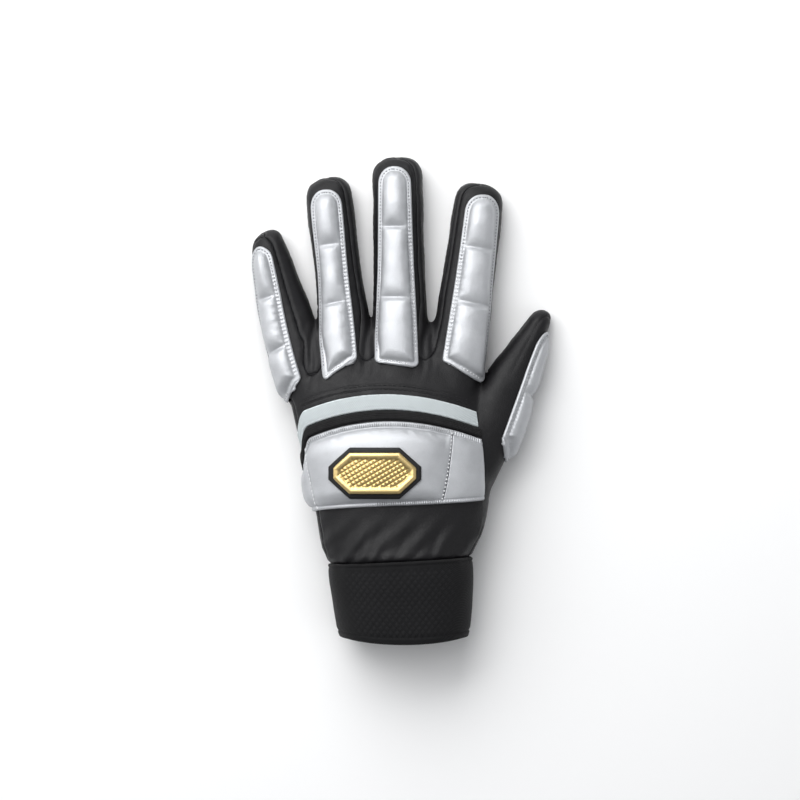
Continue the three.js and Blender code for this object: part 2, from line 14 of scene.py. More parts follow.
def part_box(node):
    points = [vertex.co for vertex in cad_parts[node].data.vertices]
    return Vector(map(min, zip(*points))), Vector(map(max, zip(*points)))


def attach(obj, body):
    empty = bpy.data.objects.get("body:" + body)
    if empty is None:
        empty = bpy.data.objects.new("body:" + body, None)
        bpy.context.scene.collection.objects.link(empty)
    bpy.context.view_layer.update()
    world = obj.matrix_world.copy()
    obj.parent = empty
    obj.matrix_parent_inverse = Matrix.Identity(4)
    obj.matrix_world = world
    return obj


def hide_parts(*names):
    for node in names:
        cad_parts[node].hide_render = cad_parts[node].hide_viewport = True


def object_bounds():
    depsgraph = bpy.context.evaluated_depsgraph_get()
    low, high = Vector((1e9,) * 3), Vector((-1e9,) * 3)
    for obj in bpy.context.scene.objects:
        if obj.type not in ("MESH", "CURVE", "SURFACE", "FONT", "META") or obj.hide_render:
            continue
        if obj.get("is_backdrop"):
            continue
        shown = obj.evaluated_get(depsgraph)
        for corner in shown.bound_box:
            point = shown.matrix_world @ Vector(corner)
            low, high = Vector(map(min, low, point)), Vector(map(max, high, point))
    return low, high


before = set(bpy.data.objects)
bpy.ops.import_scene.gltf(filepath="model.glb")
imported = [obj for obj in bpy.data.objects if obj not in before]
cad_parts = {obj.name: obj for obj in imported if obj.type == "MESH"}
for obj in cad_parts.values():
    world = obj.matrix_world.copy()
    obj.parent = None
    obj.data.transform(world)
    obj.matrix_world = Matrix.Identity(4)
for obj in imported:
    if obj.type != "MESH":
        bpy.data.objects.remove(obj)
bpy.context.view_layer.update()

MM = 0.001

# Leather, cloth and clearances
LEATHER_WALL = 1.3
CUFF_WALL = 2.3
SEAM_GAP = 0.3
LAY_GAP = 0.35  # under a pad or band that is laid over the leather
SQUARENESS = 2.35  # exponent of the rounded cross-sections, 2 is an ellipse

# Cuff: shares of its length, width and thickness
CUFF_LENGTH = 42
CUFF_WIDTH = 71
CUFF_THICKNESS = 43
CUFF_SHIFT = 0.6  # of its middle towards the thumb
CUFF_TOP_RISE = 3.6  # how much higher the seam is on the thumb side
HEM_BOW = 3.7  # how far the middle of the hem stands out past its ends
HEM_TURN = 1.5  # how much shorter the worn cuff is than its pattern
HEM_SHIFT = 1.8  # of the hem towards the thumb
CUFF_SECTIONS = [  # along, width, height
    (0.0, 1.0, 1.0),
    (0.19, 1.0, 1.0),
    (0.6, 0.965, 0.965),
    (0.87, 0.915, 0.935),
    (1.0, 0.87, 0.9),
]
KNIT_PITCH = (3.4, 4.2)  # round the cuff and along it, of the lozenges
KNIT_RELIEF = 0.5

# Palm, from the cuff seam to the wall between the fingers
PALM_LENGTH = 116
PALM_WIDTH = 96
PALM_THICKNESS = 40
PALM_PRESS = 2.5  # how far the underside is pressed flat by lying down
PALM_TUCK = 6  # leather inside the cuff
TUCK_RISE = CUFF_WALL + SEAM_GAP
TUCK = (
    (CUFF_WIDTH - 2 * TUCK_RISE) / PALM_WIDTH,
    (CUFF_THICKNESS - 2 * TUCK_RISE) / PALM_THICKNESS,
    CUFF_SHIFT / PALM_WIDTH,
    TUCK_RISE / PALM_THICKNESS,
)
PALM_SECTIONS = [  # along, width, height, shift of the middle, rise of the underside; the first two are in the cuff
    (-PALM_TUCK / PALM_LENGTH, *TUCK),
    (-0.004, *TUCK),
    (0.01, 0.733, 1.065, 0.0065, 0.001),
    (0.05, 0.778, 1.045, 0.007, 0),
    (0.1, 0.825, 1.02, 0.01, 0),
    (0.203, 0.878, 0.99, 0.016, 0),
    (0.322, 0.922, 0.965, 0.008, 0),
    (0.44, 0.944, 0.935, -0.012, 0),
    (0.56, 0.97, 0.89, -0.04, 0),
    (0.69, 0.994, 0.82, -0.064, 0),
    (0.82, 1.01, 0.7, -0.083, 0),
    (0.914, 1.0, 0.57, -0.078, 0),
    (0.97, 0.95, 0.46, -0.07, 0),
    (1.0, 0.86, 0.33, -0.06, 0),
]

# Fingers: where each starts in shares of the palm, degrees of splay and bend towards the thumb, the size of its
# tube, and shares of that size at FINGER_STATIONS. seam is the height of the seam between its back and side in
# shares of the local height, and lean tips that seam towards the thumb, in degrees. skew is how much further
# forward the tip's corner is on the thumb side, in mm.
FINGER_PRESS = 0.9
FINGER_STATIONS = (0, 0.15, 0.3, 0.55, 0.8, 0.92)
FINGERS = {
    "pinky": dict(
        across=-0.455, up=0.69, splay=-17, bend=2.6, length=84.5, width=26.4, height=21,
        widths=(0.84, 0.95, 0.99, 0.93, 0.75, 0.65), heights=(1.2, 1.15, 1.05, 0.88, 0.8, 0.74),
        seam=0.86, lean=-32, skew=1.9,
    ),
    "ring": dict(
        across=-0.234, up=0.69, splay=-7, bend=0.4, length=108.8, width=26.4, height=23,
        widths=(0.95, 0.99, 0.99, 0.85, 0.88, 0.86), heights=(1.33, 1.22, 1.09, 0.89, 0.8, 0.74),
        seam=0.66, lean=-26, skew=0.5,
    ),
    "middle": dict(
        across=0.018, up=0.69, splay=-1.4, bend=0.4, length=118.4, width=27.2, height=24,
        widths=(0.96, 0.99, 0.99, 0.92, 0.91, 0.9), heights=(1.31, 1.2, 1.07, 0.87, 0.79, 0.72),
        seam=0.67, lean=-21, skew=0.2,
    ),
    "index": dict(
        across=0.27, up=0.69, splay=8.8, bend=-1.8, length=106, width=27.4, height=23,
        widths=(0.93, 0.98, 1.0, 0.93, 0.9, 0.88), heights=(1.24, 1.17, 1.07, 0.9, 0.8, 0.74),
        seam=0.66, lean=19, skew=-0.6,
    ),
    "thumb": dict(
        across=0.311, up=0.29, splay=22.3, bend=6.5, length=98.5, width=30, height=28,
        widths=(0.86, 0.98, 0.98, 0.82, 0.53, 0.39), heights=(0.95, 1.0, 0.98, 0.86, 0.68, 0.58),
        seam=0.95, lean=56, skew=0.9,
    ),
}
TIP_ROUND = 12  # length over which a fingertip closes
TIP_POWER = 2.6  # how bluntly it does

# Seams between the panels
PALM_SEAM_HEIGHT = 6
BACK_SEAM_SHARE = 0.64
THUMB_SEAM = [  # across and up, in shares of the palm
    (0.43, -0.25),
    (0.442, 0.25),
    (0.448, 0.55),
    (0.45, 0.79),
    (0.49, 0.9),
    (0.62, 1.12),
]
THUMB_SIDE_START = 50  # along the palm, of the thumb's side panel
# The notches of the back panel between two fingers: the low end and the point between the fingers, in mm
NOTCHES = {
    ("pinky", "ring"): ((-42.5, 90), (-40.3, 118)),
    ("ring", "middle"): ((-15.8, 97.5), (-13.0, 118)),
    ("middle", "index"): ((12.8, 97.8), (15.2, 118)),
}
NOTCH_HALF_WIDTH = 4.9
SEAM_SINK = 0.42  # how deep a seam lies under the leather beside it
VOXEL = 0.8

# Finger pads. start and end are shares of the finger's length, lean and reach are degrees round the finger at
# the low and the high end, slant is how much lower the low end is on the thumb side, and seams are shares of
# the pad's length. gathered is the edge whose stitches pull the leather most: -1 or 1 as across the finger.
# flare is how much further round the low corners reach, in degrees, on the little finger's side and the thumb's.
PAD_FLANGE = 1.2
PAD_FLANGE_WIDTH = 2.5
PAD_RISE = 3.5
PAD_COLUMNS = 51
PADS = {
    "pinky": dict(
        start=0.05, end=0.925, lean=(-50, -28), reach=(40, 35), slant=-8, seams=(0.3, 0.65), gathered=1, flare=(0, 7),
    ),
    "ring": dict(
        start=0.122, end=0.94, lean=(-22, -10), reach=(38, 37), slant=-7.5, seams=(0.372, 0.694), gathered=1,
        flare=(11, 0),
    ),
    "middle": dict(
        start=0.127, end=0.952, lean=(-11, -8), reach=(44, 35), slant=2.5, seams=(0.34, 0.7), gathered=1, flare=(8, 0),
    ),
    "index": dict(
        start=0.114, end=0.945, lean=(21, 13), reach=(46, 39), slant=6.8, seams=(0.387, 0.7), gathered=-1, flare=(3, 6),
    ),
    "thumb": dict(
        start=0.275, end=0.9, lean=(72, 62), reach=(40, 38), slant=9, seams=(0.5,), gathered=-1, flare=(0, 0),
    ),
}

# Bands and guard across the back: edges as shares of PALM_LENGTH where they stand highest, and the degrees
# round the palm, away from straight up, between which they run
KNUCKLE_BOW = 10.5  # how far the bands' ends lie behind their middles
SIDE_DROP = 10  # how much further they fall back round the little finger's side
SIDE_START, SIDE_END = -56, -82  # degrees round the palm, between which they do
BANDS = {
    "knuckle_band": dict(low=0.632, high=0.697, start=-78, end=62, thickness=1.1),
    "flex_band": dict(low=0.593, high=0.6285, start=-96, end=64, thickness=1.9),
}
GUARD = dict(low=0.234, high=0.585, start=-97, fold=-67, tab=23, end=64)
TAB_SLANT = 13.6
GUARD_BOTTOM_SLOPE = 0.00032
GUARD_FLANGE = 1.4
GUARD_LOW_FLANGE = 2.0  # width of the flange along the lower edge
GUARD_HIGH_FLANGE = 3.1
GUARD_RISE = 4.4
SIDE_RISE = 3.6
TAB_RISE = 0.9
TOPSTITCH_ROWS = (2.6, 4.6)  # above the knuckle band

# Badge, an elongated hexagon
BADGE = dict(across=-0.12, up=0.37, width=40, height=20, point=8)
BADGE_BORDER = 2.4
BACKING_THICKNESS = 1.0
PLATE_THICKNESS = 1.3
HATCH_PITCH = 2.0

# Cloth simulation of the stuffed pieces
SIMULATION_SCALE = 0.01  # of its meshes, from millimetres
SLACK = 0.78  # of a cushion's height, where the simulation starts
STUFFING_PRESSURE = 4
STUFFING_FRAMES = 20
SWELL_CAP = 1.3  # how far it may lift a cushion, in mm

# Stitches
STITCH_PITCH = 1.9
STITCH_LENGTH = 1.2
THREAD_RADIUS = 0.3
STITCH_INSET = 1.5  # of a stitch row from the edge of a pad
LOW_STITCH_INSET = 1.9  # of the row along a pad's low end

# The glove's own coordinates start at the cuff seam, the frame's under the middle of the glove
cuff_low, cuff_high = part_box("cuff")
SHIFT = np.array([cuff_low.x / MM - CUFF_SHIFT + CUFF_WIDTH / 2, cuff_low.y / MM + CUFF_LENGTH, 0])


# Curves and fields


def along(stations, values, share):
    """Values at shares along a row of values given at stations, on a smooth curve."""
    stations, values = np.asarray(stations, float), np.asarray(values, float)
    share = np.clip(share, stations[0], stations[-1])
    last = len(stations) - 1
    i = np.clip(np.searchsorted(stations, share, side="right") - 1, 0, last - 1)
    t = (share - stations[i]) / (stations[i + 1] - stations[i])
    before, a, b, after = values[np.maximum(i - 1, 0)], values[i], values[i + 1], values[np.minimum(i + 2, last)]
    return 0.5 * (
        2 * a
        + (b - before) * t
        + (2 * before - 5 * a + 4 * b - after) * t**2
        + (3 * a - before - 3 * b + after) * t**3
    )


def mix(a, b, share):
    return a + (b - a) * share


def smoothstep(low, high, x):
    t = np.clip((x - low) / (high - low), 0, 1)
    return t * t * (3 - 2 * t)


def bump(x, middle, width):
    return np.exp(-(((x - middle) / width) ** 2))


def soft_max(a, b, radius):
    return 0.5 * (a + b + np.sqrt((a - b) ** 2 + radius**2))


def soft_min(a, b, radius):
    return -soft_max(-a, -b, radius)


def unit(vectors):
    return vectors / np.maximum(np.linalg.norm(vectors, axis=-1, keepdims=True), 1e-9)


def ripple(points, wavelength, seed, waves=14):
    """A smooth uneven field of about -1 to 1 over points of any dimension."""
    points = np.asarray(points, float)
    if points.ndim == 1:
        points = points[:, None]
    rng = np.random.default_rng(seed)
    total = np.zeros(len(points))
    for _ in range(waves):
        direction = unit(rng.normal(size=points.shape[1]))
        length = wavelength * rng.uniform(0.7, 1.6)
        total += np.sin(points @ direction * (2 * np.pi / length) + rng.uniform(0, 2 * np.pi))
    return total / np.sqrt(waves / 2) / 1.6


# The hand form


def round_section(angle, width, height, rise, press, offset):
    """A rounded cross-section with a pressed underside: across and up at angles from the thumb's side."""
    power = 2 / SQUARENESS
    c, s = np.cos(angle), np.sin(angle)
    half_height = (height + press) / 2
    x = (width / 2 + offset) * np.sign(c) * np.abs(c) ** power
    z = half_height - press + (half_height + offset) * np.sign(s) * np.abs(s) ** power
    return x, rise + np.maximum(z, -offset)


def palm_at(share):
    stations, widths, heights, shifts, rises = zip(*PALM_SECTIONS)
    return (
        PALM_WIDTH * along(stations, shifts, share),
        PALM_WIDTH * along(stations, widths, share),
        PALM_THICKNESS * along(stations, heights, share),
        np.maximum(0, PALM_THICKNESS * along(stations, rises, share)),
    )


def cuff_slant(x, y):
    """How far the leather by the cuff is drawn along Y, to follow the cuff's slanted top."""
    return CUFF_TOP_RISE / CUFF_WIDTH * x * (1 - smoothstep(0, 18, y))


def palm_point(share, angle, offset):
    middle, width, height, rise = palm_at(share)
    x, z = round_section(angle, width, height, rise, PALM_PRESS, offset)
    x, y = middle + x, share * PALM_LENGTH + 0 * angle
    return np.stack([x, y + cuff_slant(x, y), z], axis=-1)


def finger_line(finger):
    """A finger's middle line in plan, with its directions, at even shares of its length."""
    turn = np.radians([finger["splay"], finger["splay"] + finger["bend"]])
    steps = np.stack([np.sin(turn), np.cos(turn)], axis=1) * finger["length"] / 2
    root = np.array([finger["across"] * PALM_WIDTH, finger["up"] * PALM_LENGTH])
    t = np.linspace(0, 1, 400)[:, None]
    line = root + (2 * t - t**2) * steps[0] + t**2 * steps[1]
    travelled = np.concatenate([[0], np.cumsum(np.linalg.norm(np.diff(line, axis=0), axis=1))])
    directions = unit((1 - t) * steps[0] + t * steps[1])
    return travelled / travelled[-1], line, directions


LINES = {name: finger_line(finger) for name, finger in FINGERS.items()}


def finger_at(name, share):
    """Middle, forward and across directions in plan, width and height of a finger at shares of its length."""
    finger, (shares, line, directions) = FINGERS[name], LINES[name]
    t = np.clip(share, 0, 1)
    middle = np.stack([np.interp(t, shares, line[:, k]) for k in (0, 1)], axis=-1)
    forward = unit(np.stack([np.interp(t, shares, directions[:, k]) for k in (0, 1)], axis=-1))
    middle = middle + forward * ((share - t) * finger["length"])[..., None]
    across = np.stack([forward[..., 1], -forward[..., 0]], axis=-1)
    width = finger["width"] * along(FINGER_STATIONS, finger["widths"], share)
    height = finger["height"] * along(FINGER_STATIONS, finger["heights"], share)
    return middle, forward, across, width, height


def tip_size(name, share):
    past = np.clip(1 - (1 - share) * FINGERS[name]["length"] / TIP_ROUND, 0, 1)
    return np.maximum(1 - past**TIP_POWER, 1e-4) ** (1 / TIP_POWER)


def finger_point(name, share, angle, offset):
    middle, forward, across, width, height = finger_at(name, share)
    size = tip_size(name, share)
    x, z = round_section(angle, width * size, height * mix(1, size, 0.65), 0, FINGER_PRESS, offset)
    skew = FINGERS[name]["skew"] * x / (width / 2) * smoothstep(0.72, 0.96, share)
    plan = middle + across * x[..., None] + forward * skew[..., None]
    return np.concatenate([plan, z[..., None]], axis=-1)


def form_point(form, share, angle, offset):
    return palm_point(share, angle, offset) if form == "palm" else finger_point(form, share, angle, offset)


def finger_places(name, points):
    """The share of a finger's length and the distance across it, of points in plan."""
    near = np.full(len(points), 0.5)
    for _ in range(4):
        middle, forward, _, _, _ = finger_at(name, near)
        near = near + np.einsum("ij,ij->i", points[:, :2] - middle, forward) / FINGERS[name]["length"]
    middle, _, across, width, height = finger_at(name, near)
    return near, np.einsum("ij,ij->i", points[:, :2] - middle, across), width, height


def loft(rings):
    """Points and faces of a closed loft through rings of points."""
    rows, sides, _ = rings.shape
    index = np.arange(rows * sides).reshape(rows, sides)
    a, b = index[:-1], np.roll(index, -1, axis=1)[:-1]
    c, d = np.roll(index, -1, axis=1)[1:], index[1:]
    faces = np.stack([a, b, c, d], axis=-1).reshape(-1, 4).tolist()
    return rings.reshape(-1, 3), faces + [index[0][::-1].tolist(), index[-1].tolist()]


# Meshes


def mesh_object(name, points, faces, smooth=True):
    """An object from points in the glove's millimetres. What would go under the floor lies flat on it."""
    placed = (points + SHIFT) * MM
    placed[:, 2] = np.maximum(placed[:, 2], 0)
    mesh = bpy.data.meshes.new(name)
    mesh.from_pydata(placed.tolist(), [], faces.tolist())
    mesh.validate()
    if smooth:
        mesh.shade_smooth()
    obj = bpy.data.objects.new(name, mesh)
    bpy.context.scene.collection.objects.link(obj)
    return obj


def mark(obj, name, values):
    attribute = obj.data.attributes.new(name, "FLOAT", "POINT")
    attribute.data.foreach_set("value", np.asarray(values, np.float32))


def sharpen(obj, sharp):
    """Keeps an edge's two sides apart in the shading, where both its ends are sharp."""
    ends = np.empty(len(obj.data.edges) * 2, np.int32)
    obj.data.edges.foreach_get("vertices", ends)
    attribute = obj.data.attributes.new("sharp_edge", "BOOLEAN", "EDGE")
    attribute.data.foreach_set("value", sharp[ends].reshape(-1, 2).all(axis=1))


def dress(obj, material, slot, *nodes, fill=None):
    """Gives a piece its finish, fixes it to the root body and hides the parts that it stands for."""
    obj.data.materials.clear()
    obj.data.materials.append(material)
    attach(obj, "root")
    if nodes:
        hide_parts(*nodes)
    return obj


def one_skin(lofts, voxel):
    """One closed surface of quads round several closed lofts, in millimetres."""
    points, faces = [], []
    for loft_points, loft_faces in lofts:
        start = sum(len(p) for p in points)
        points.append(loft_points)
        faces += [[i + start for i in face] for face in loft_faces]
    mesh = bpy.data.meshes.new("form")
    mesh.from_pydata(np.concatenate(points).tolist(), [], faces)
    obj = bpy.data.objects.new("form", mesh)
    bpy.context.scene.collection.objects.link(obj)
    remesh = obj.modifiers.new("skin", "REMESH")
    remesh.mode = "VOXEL"
    remesh.voxel_size = voxel
    evaluated = obj.evaluated_get(bpy.context.evaluated_depsgraph_get())
    skin = evaluated.to_mesh()
    found = np.empty(len(skin.vertices) * 3)
    skin.vertices.foreach_get("co", found)
    quads = np.empty(len(skin.loops), np.int64)
    skin.loops.foreach_get("vertex_index", quads)
    evaluated.to_mesh_clear()
    bpy.data.objects.remove(obj)
    return found.reshape(-1, 3), quads.reshape(-1, 4)


def edges_of(quads):
    pairs = np.concatenate([quads[:, [i, (i + 1) % 4]] for i in range(4)])
    return np.unique(np.sort(pairs, axis=1), axis=0)


def relaxed(points, edges, steps, weight=0.5, keep_size=False):
    """Points moved towards the mean of their neighbours. weight is a number or one for each point."""
    count = np.bincount(edges.ravel(), minlength=len(points))[:, None]
    points = points.copy()
    pushes = (1.0, -1.04) if keep_size else (1.0,)
    weight = np.broadcast_to(np.asarray(weight, float), (len(points),))[:, None]
    for _ in range(steps):
        for push in pushes:
            total = np.zeros_like(points)
            for k in range(points.shape[1]):
                total[:, k] = np.bincount(edges[:, 0], points[edges[:, 1], k], len(points))
                total[:, k] += np.bincount(edges[:, 1], points[edges[:, 0], k], len(points))
            points += push * weight * (total / np.maximum(count, 1) - points)
    return points


def normals_of(points, quads):
    diagonals = points[quads[:, 2]] - points[quads[:, 0]], points[quads[:, 3]] - points[quads[:, 1]]
    face = np.cross(*diagonals)
    normal = np.stack(
        [np.bincount(quads.ravel(), np.repeat(face[:, k], 4), len(points)) for k in range(3)], axis=1
    )
    return unit(normal)


def tree_of(points):
    tree = KDTree(len(points))
    for i, point in enumerate(points):
        tree.insert(point, i)
    tree.balance()
    return tree


def nearest(tree, points):
    """Distance to and index of the nearest point of a tree, for each point."""
    found = [tree.find(point) for point in points]
    return np.array([f[2] for f in found]), np.array([f[1] for f in found])


# Leather


def hand_skin():
    turn = np.linspace(0, 2 * np.pi, 97)[:-1]
    shares = np.linspace(-PALM_TUCK / PALM_LENGTH, 1, 120)
    lofts = [loft(palm_point(shares[:, None], turn[None, :], 0.0))]
    turn = np.linspace(0, 2 * np.pi, 61)[:-1]
    for name, finger in FINGERS.items():
        closing = 1 - TIP_ROUND / finger["length"] * (1 - np.sin(np.linspace(0, np.pi / 2, 16)))
        shares = np.concatenate([np.linspace(0, closing[0], 60)[:-1], closing])
        rings = [finger_point(name, np.full_like(turn, share), turn, 0.0) for share in shares]
        lofts.append(loft(np.stack(rings)))
    points, quads = one_skin(lofts, VOXEL)
    edges = edges_of(quads)
    points = relaxed(points, edges, 8, keep_size=True)
    # the forks between the fingers and the thumb are rounded more than the rest
    fork = np.zeros(len(points))
    for _, (x, y) in NOTCHES.values():
        fork = np.maximum(fork, bump(np.hypot(points[:, 0] - x, (points[:, 1] - y + 10) * 0.6), 0, 11))
    roots = smoothstep(60, 80, points[:, 1]) * (1 - smoothstep(112, 122, points[:, 1]))
    roots = roots * (1 - bump(np.hypot(points[:, 0] - 43, points[:, 1] - 90), 0, 15))
    thumb_root = bump(np.hypot(points[:, 0] - 44, (points[:, 1] - 52) * 0.5), 0, 12)
    weight = 0.5 * np.clip(fork + 0.5 * roots + thumb_root, 0, 1) * smoothstep(4, 14, points[:, 2])
    return relaxed(points, edges, 60, weight), quads


def back_field(points):
    """How far points are inside the back panels, about in millimetres: negative past their seams."""
    share = points[:, 1] / PALM_LENGTH
    middle, width, height, _ = palm_at(share)
    x, y, z = points.T
    inside = z - height * BACK_SEAM_SHARE
    inside = soft_min(inside, width / 2 + 3 - np.abs(x - middle), 1)
    inside = soft_min(inside, (0.93 - share) * PALM_LENGTH, 2)
    for name, finger in FINGERS.items():
        near, across, width, height = finger_places(name, points)
        slope = np.tan(np.radians(finger["lean"]))
        above = (z - height * finger["seam"] + across * slope) / np.sqrt(1 + slope**2)
        above = np.minimum(above, width / 2 + 2.5 - np.abs(across))
        above = np.minimum(above, (near - 0.02) * finger["length"])
        inside = soft_max(inside, above, 1.2)
    for (low_x, low_y), (high_x, high_y) in NOTCHES.values():
        line = mix(low_x, high_x, (y - low_y) / (high_y - low_y))
        half = NOTCH_HALF_WIDTH * np.sqrt(1 - np.exp(-np.maximum(y - low_y, 0) / 3.5))
        notch = np.where(y > low_y, half - np.abs(x - line), -np.hypot(x - low_x, y - low_y))
        inside = soft_min(inside, -np.where(y < high_y + 6, notch, -9.0), 0.8)
    return inside


def thumb_field(points):
    across, up = np.array(THUMB_SEAM).T
    return points[:, 0] - np.interp(points[:, 1], up * PALM_LENGTH, across * PALM_WIDTH)


PANELS = (
    "back_panel", "thumb_back", "thumb_side", "palm_panel",
    "fourchette_pinky_ring", "fourchette_ring_middle", "fourchette_middle_index",
)


def panel_of(points):
    """The index in PANELS of the panel that each point belongs to."""
    back, thumb, high = back_field(points) > 0, thumb_field(points) > 0, points[:, 2] > PALM_SEAM_HEIGHT
    panel = np.full(len(points), PANELS.index("palm_panel"))
    places = {name: finger_places(name, points) for name in FINGERS}
    for left, right in NOTCHES:
        beside = (places[left][1] > 0) & (places[right][1] < 0) & (places[left][0] > 0.12) & (places[right][0] > 0.12)
        panel[beside & high] = PANELS.index(f"fourchette_{left}_{right}")
    panel[thumb & high & (points[:, 1] > THUMB_SIDE_START)] = PANELS.index("thumb_side")
    panel[back & ~thumb] = PANELS.index("back_panel")
    panel[back & thumb] = PANELS.index("thumb_back")
    return panel


def tidied(panel, quads):
    """The faces' panels, with stray faces given to the panel round them."""
    for _ in range(3):
        votes = np.zeros((quads.max() + 1, len(PANELS)))
        np.add.at(votes, (quads.ravel(), np.repeat(panel, 4)), 1)
        around = votes[quads].sum(axis=1)
        winner = around.argmax(axis=1)
        weak = around[np.arange(len(quads)), panel] < 0.36 * around.sum(axis=1)
        panel = np.where(weak, winner, panel)
    return panel


def seam_lines(points, quads, panel):
    """Edges between faces of different panels, and the points of the surface moved to make them smooth."""
    pairs = np.concatenate([quads[:, [i, (i + 1) % 4]] for i in range(4)])
    owner = np.tile(panel, 4)
    pairs = np.sort(pairs, axis=1)
    order = np.lexsort((pairs[:, 1], pairs[:, 0]))
    pairs, owner = pairs[order], owner[order]
    same = (pairs[1:] == pairs[:-1]).all(axis=1) & (owner[1:] != owner[:-1])
    border = pairs[1:][same]
    on_border = np.bincount(border.ravel(), minlength=len(points))
    pinned = (on_border == 2).astype(float)
    smooth = relaxed(points, border, 28, 0.5 * pinned)
    free = (on_border == 0).astype(float)
    smooth = relaxed(smooth, edges_of(quads), 4, 0.45 * free * bump(nearest(tree_of(smooth[on_border > 0]), smooth)[0], 0, 3))
    return smooth, on_border > 0


def leather_folds(points):
    """How far soft folds, gathers and creases lift the leather."""
    x, y, z = points.T
    up = smoothstep(14, 30, z)
    free = smoothstep(0.2, 1.6, y - cuff_slant(x, y))
    skew = x - 0.5 * y
    pleats = np.sin(2 * np.pi * skew / 7 + 1.5 * ripple(points[:, :2], 26, 3)) - 0.25
    gathers = (0.42 * pleats + 0.25 * ripple(np.stack([skew, 0.2 * y], axis=1), 4.2, 5)) * np.exp(-np.maximum(y, 0) / 6)
    broad = 0.45 * np.sin(2 * np.pi * (x - 0.85 * y + 16.9) / 14 + 0.7 * ripple(points[:, :2], 40, 4)) * bump(y, 11, 9)
    lift = up * (gathers + broad) + (1 - up) * 0.3 * ripple(np.stack([x, 0.3 * y], axis=1), 6, 8) * np.exp(-np.maximum(y, 0) / 6)
    lift = lift + 0.2 * ripple(points, 22, 11) + 0.06 * ripple(points, 7.5, 12)
    for (low_x, low_y), (high_x, high_y) in NOTCHES.values():
        t = (y - low_y) / (high_y - low_y)
        beside = x - mix(low_x, high_x, t)
        zone = bump(t, 0.35, 0.5) * bump(beside, 0, 6.5)
        lift = lift + 0.4 * zone * np.sin(2 * np.pi * beside / 4.8 + 0.9 * np.sin(y / 4))
        lift = lift - 0.55 * bump(np.hypot(beside * 0.5, y - low_y + 0.5), 0, 2.2)
    # creases on the gripping side, where the fingers bend
    under = 1 - smoothstep(2, 8, z)
    for name, finger in FINGERS.items():
        near, across, width, _ = finger_places(name, points)
        over = (np.abs(across) < width / 2 + 2) & (near > 0)
        for joint in (0.36, 0.62) if name != "thumb" else (0.62,):
            wave = ((near - joint) * finger["length"] + 0.8 * np.sin(across / 3)) / 1.5
            lift = lift - under * over * 0.4 * np.exp(-(wave**2))
            lift = lift + under * over * 0.2 * (np.exp(-((wave - 2) ** 2)) + np.exp(-((wave + 2) ** 2)))
    return lift * free * mix(1, 0.5, under)


def topstitch_grooves(points):
    """Depth of the two topstitched rows above the knuckle band."""
    share = points[:, 1] / PALM_LENGTH
    middle, width, _, _ = palm_at(share)
    side = np.clip((points[:, 0] - middle) / (width / 2), -1, 1)
    line = BANDS["knuckle_band"]["high"] - KNUCKLE_BOW * side**2 / PALM_LENGTH
    past = (share - line) * PALM_LENGTH
    over = (points[:, 2] > 20) & (np.abs(side) < 0.88)
    return over * (0.3 * bump(past, TOPSTITCH_ROWS[0], 0.55) + 0.3 * bump(past, TOPSTITCH_ROWS[1], 0.55)
                   - 0.25 * bump(past, sum(TOPSTITCH_ROWS) / 2, 0.6))


form_points, form_quads = hand_skin()
form_tree = BVHTree.FromPolygons(form_points.tolist(), form_quads.tolist())


def leather_panels():
    points, quads = form_points, form_quads
    panel = tidied(panel_of(points[quads].mean(axis=1)), quads)
    points, _ = seam_lines(points, quads, panel)
    normal = normals_of(points, quads)
    lifted = points + normal * (leather_folds(points) - topstitch_grooves(points))[:, None]
    middles = points[quads].mean(axis=1)
    wrist = middles[:, 1] - cuff_slant(middles[:, 0], middles[:, 1]) < 0.9 - PALM_TUCK
    panels = {}
    for index, name in enumerate(PANELS):
        own = quads[(panel == index) & ~wrist]
        used, local = np.unique(own, return_inverse=True)
        local = local.reshape(-1, 4)
        here, out = lifted[used], normal[used]
        inner_edges = edges_of(local)
        pairs = np.sort(np.concatenate([local[:, [i, (i + 1) % 4]] for i in range(4)]), axis=1)
        unique, count = np.unique(pairs, axis=0, return_counts=True)
        rim = np.unique(unique[count == 1])
        rim = rim[here[rim, 1] - cuff_slant(here[rim, 0], here[rim, 1]) > 0.5 - PALM_TUCK]
        gap, at = nearest(tree_of(here[rim]), here)
        run = here[rim][at] @ np.array([0.35, 0.9, 0.25])
        pucker = 1 + 0.28 * np.sin(2 * np.pi * run / 3.1) + 0.3 * ripple(here, 6, 21 + index)
        sink = -SEAM_SINK * bump(gap, 0, 0.9) + 0.15 * pucker * bump(gap, 1.9, 1.2)
        by_thumb = smoothstep(39.5, 42, here[:, 0]) * smoothstep(9, 15, here[:, 2])
        faded = 1 - by_thumb * mix(0.6, 1, 1 - smoothstep(86, 100, here[:, 1]))
        for (x, y), _ in NOTCHES.values():
            faded = faded * (1 - 0.5 * bump(np.hypot(here[:, 0] - x, here[:, 1] - y), 0, 8))
        here = here + out * (sink * smoothstep(1, 4, here[:, 1]) * faded)[:, None]
        inward = relaxed(here, inner_edges, 1, 1.0) - here
        inward = unit(inward - out * np.einsum("ij,ij->i", inward, out)[:, None])
        here[rim] += inward[rim] * (0.08 * np.clip(faded[rim], 0, 1))[:, None]
        sharp = np.zeros(len(here), bool)
        sharp[rim] = faded[rim] < 0.5
        panels[name] = (here, local, faded * np.exp(-((gap / 1.6) ** 2)), sharp)
    return panels


# Layers that lie on the leather


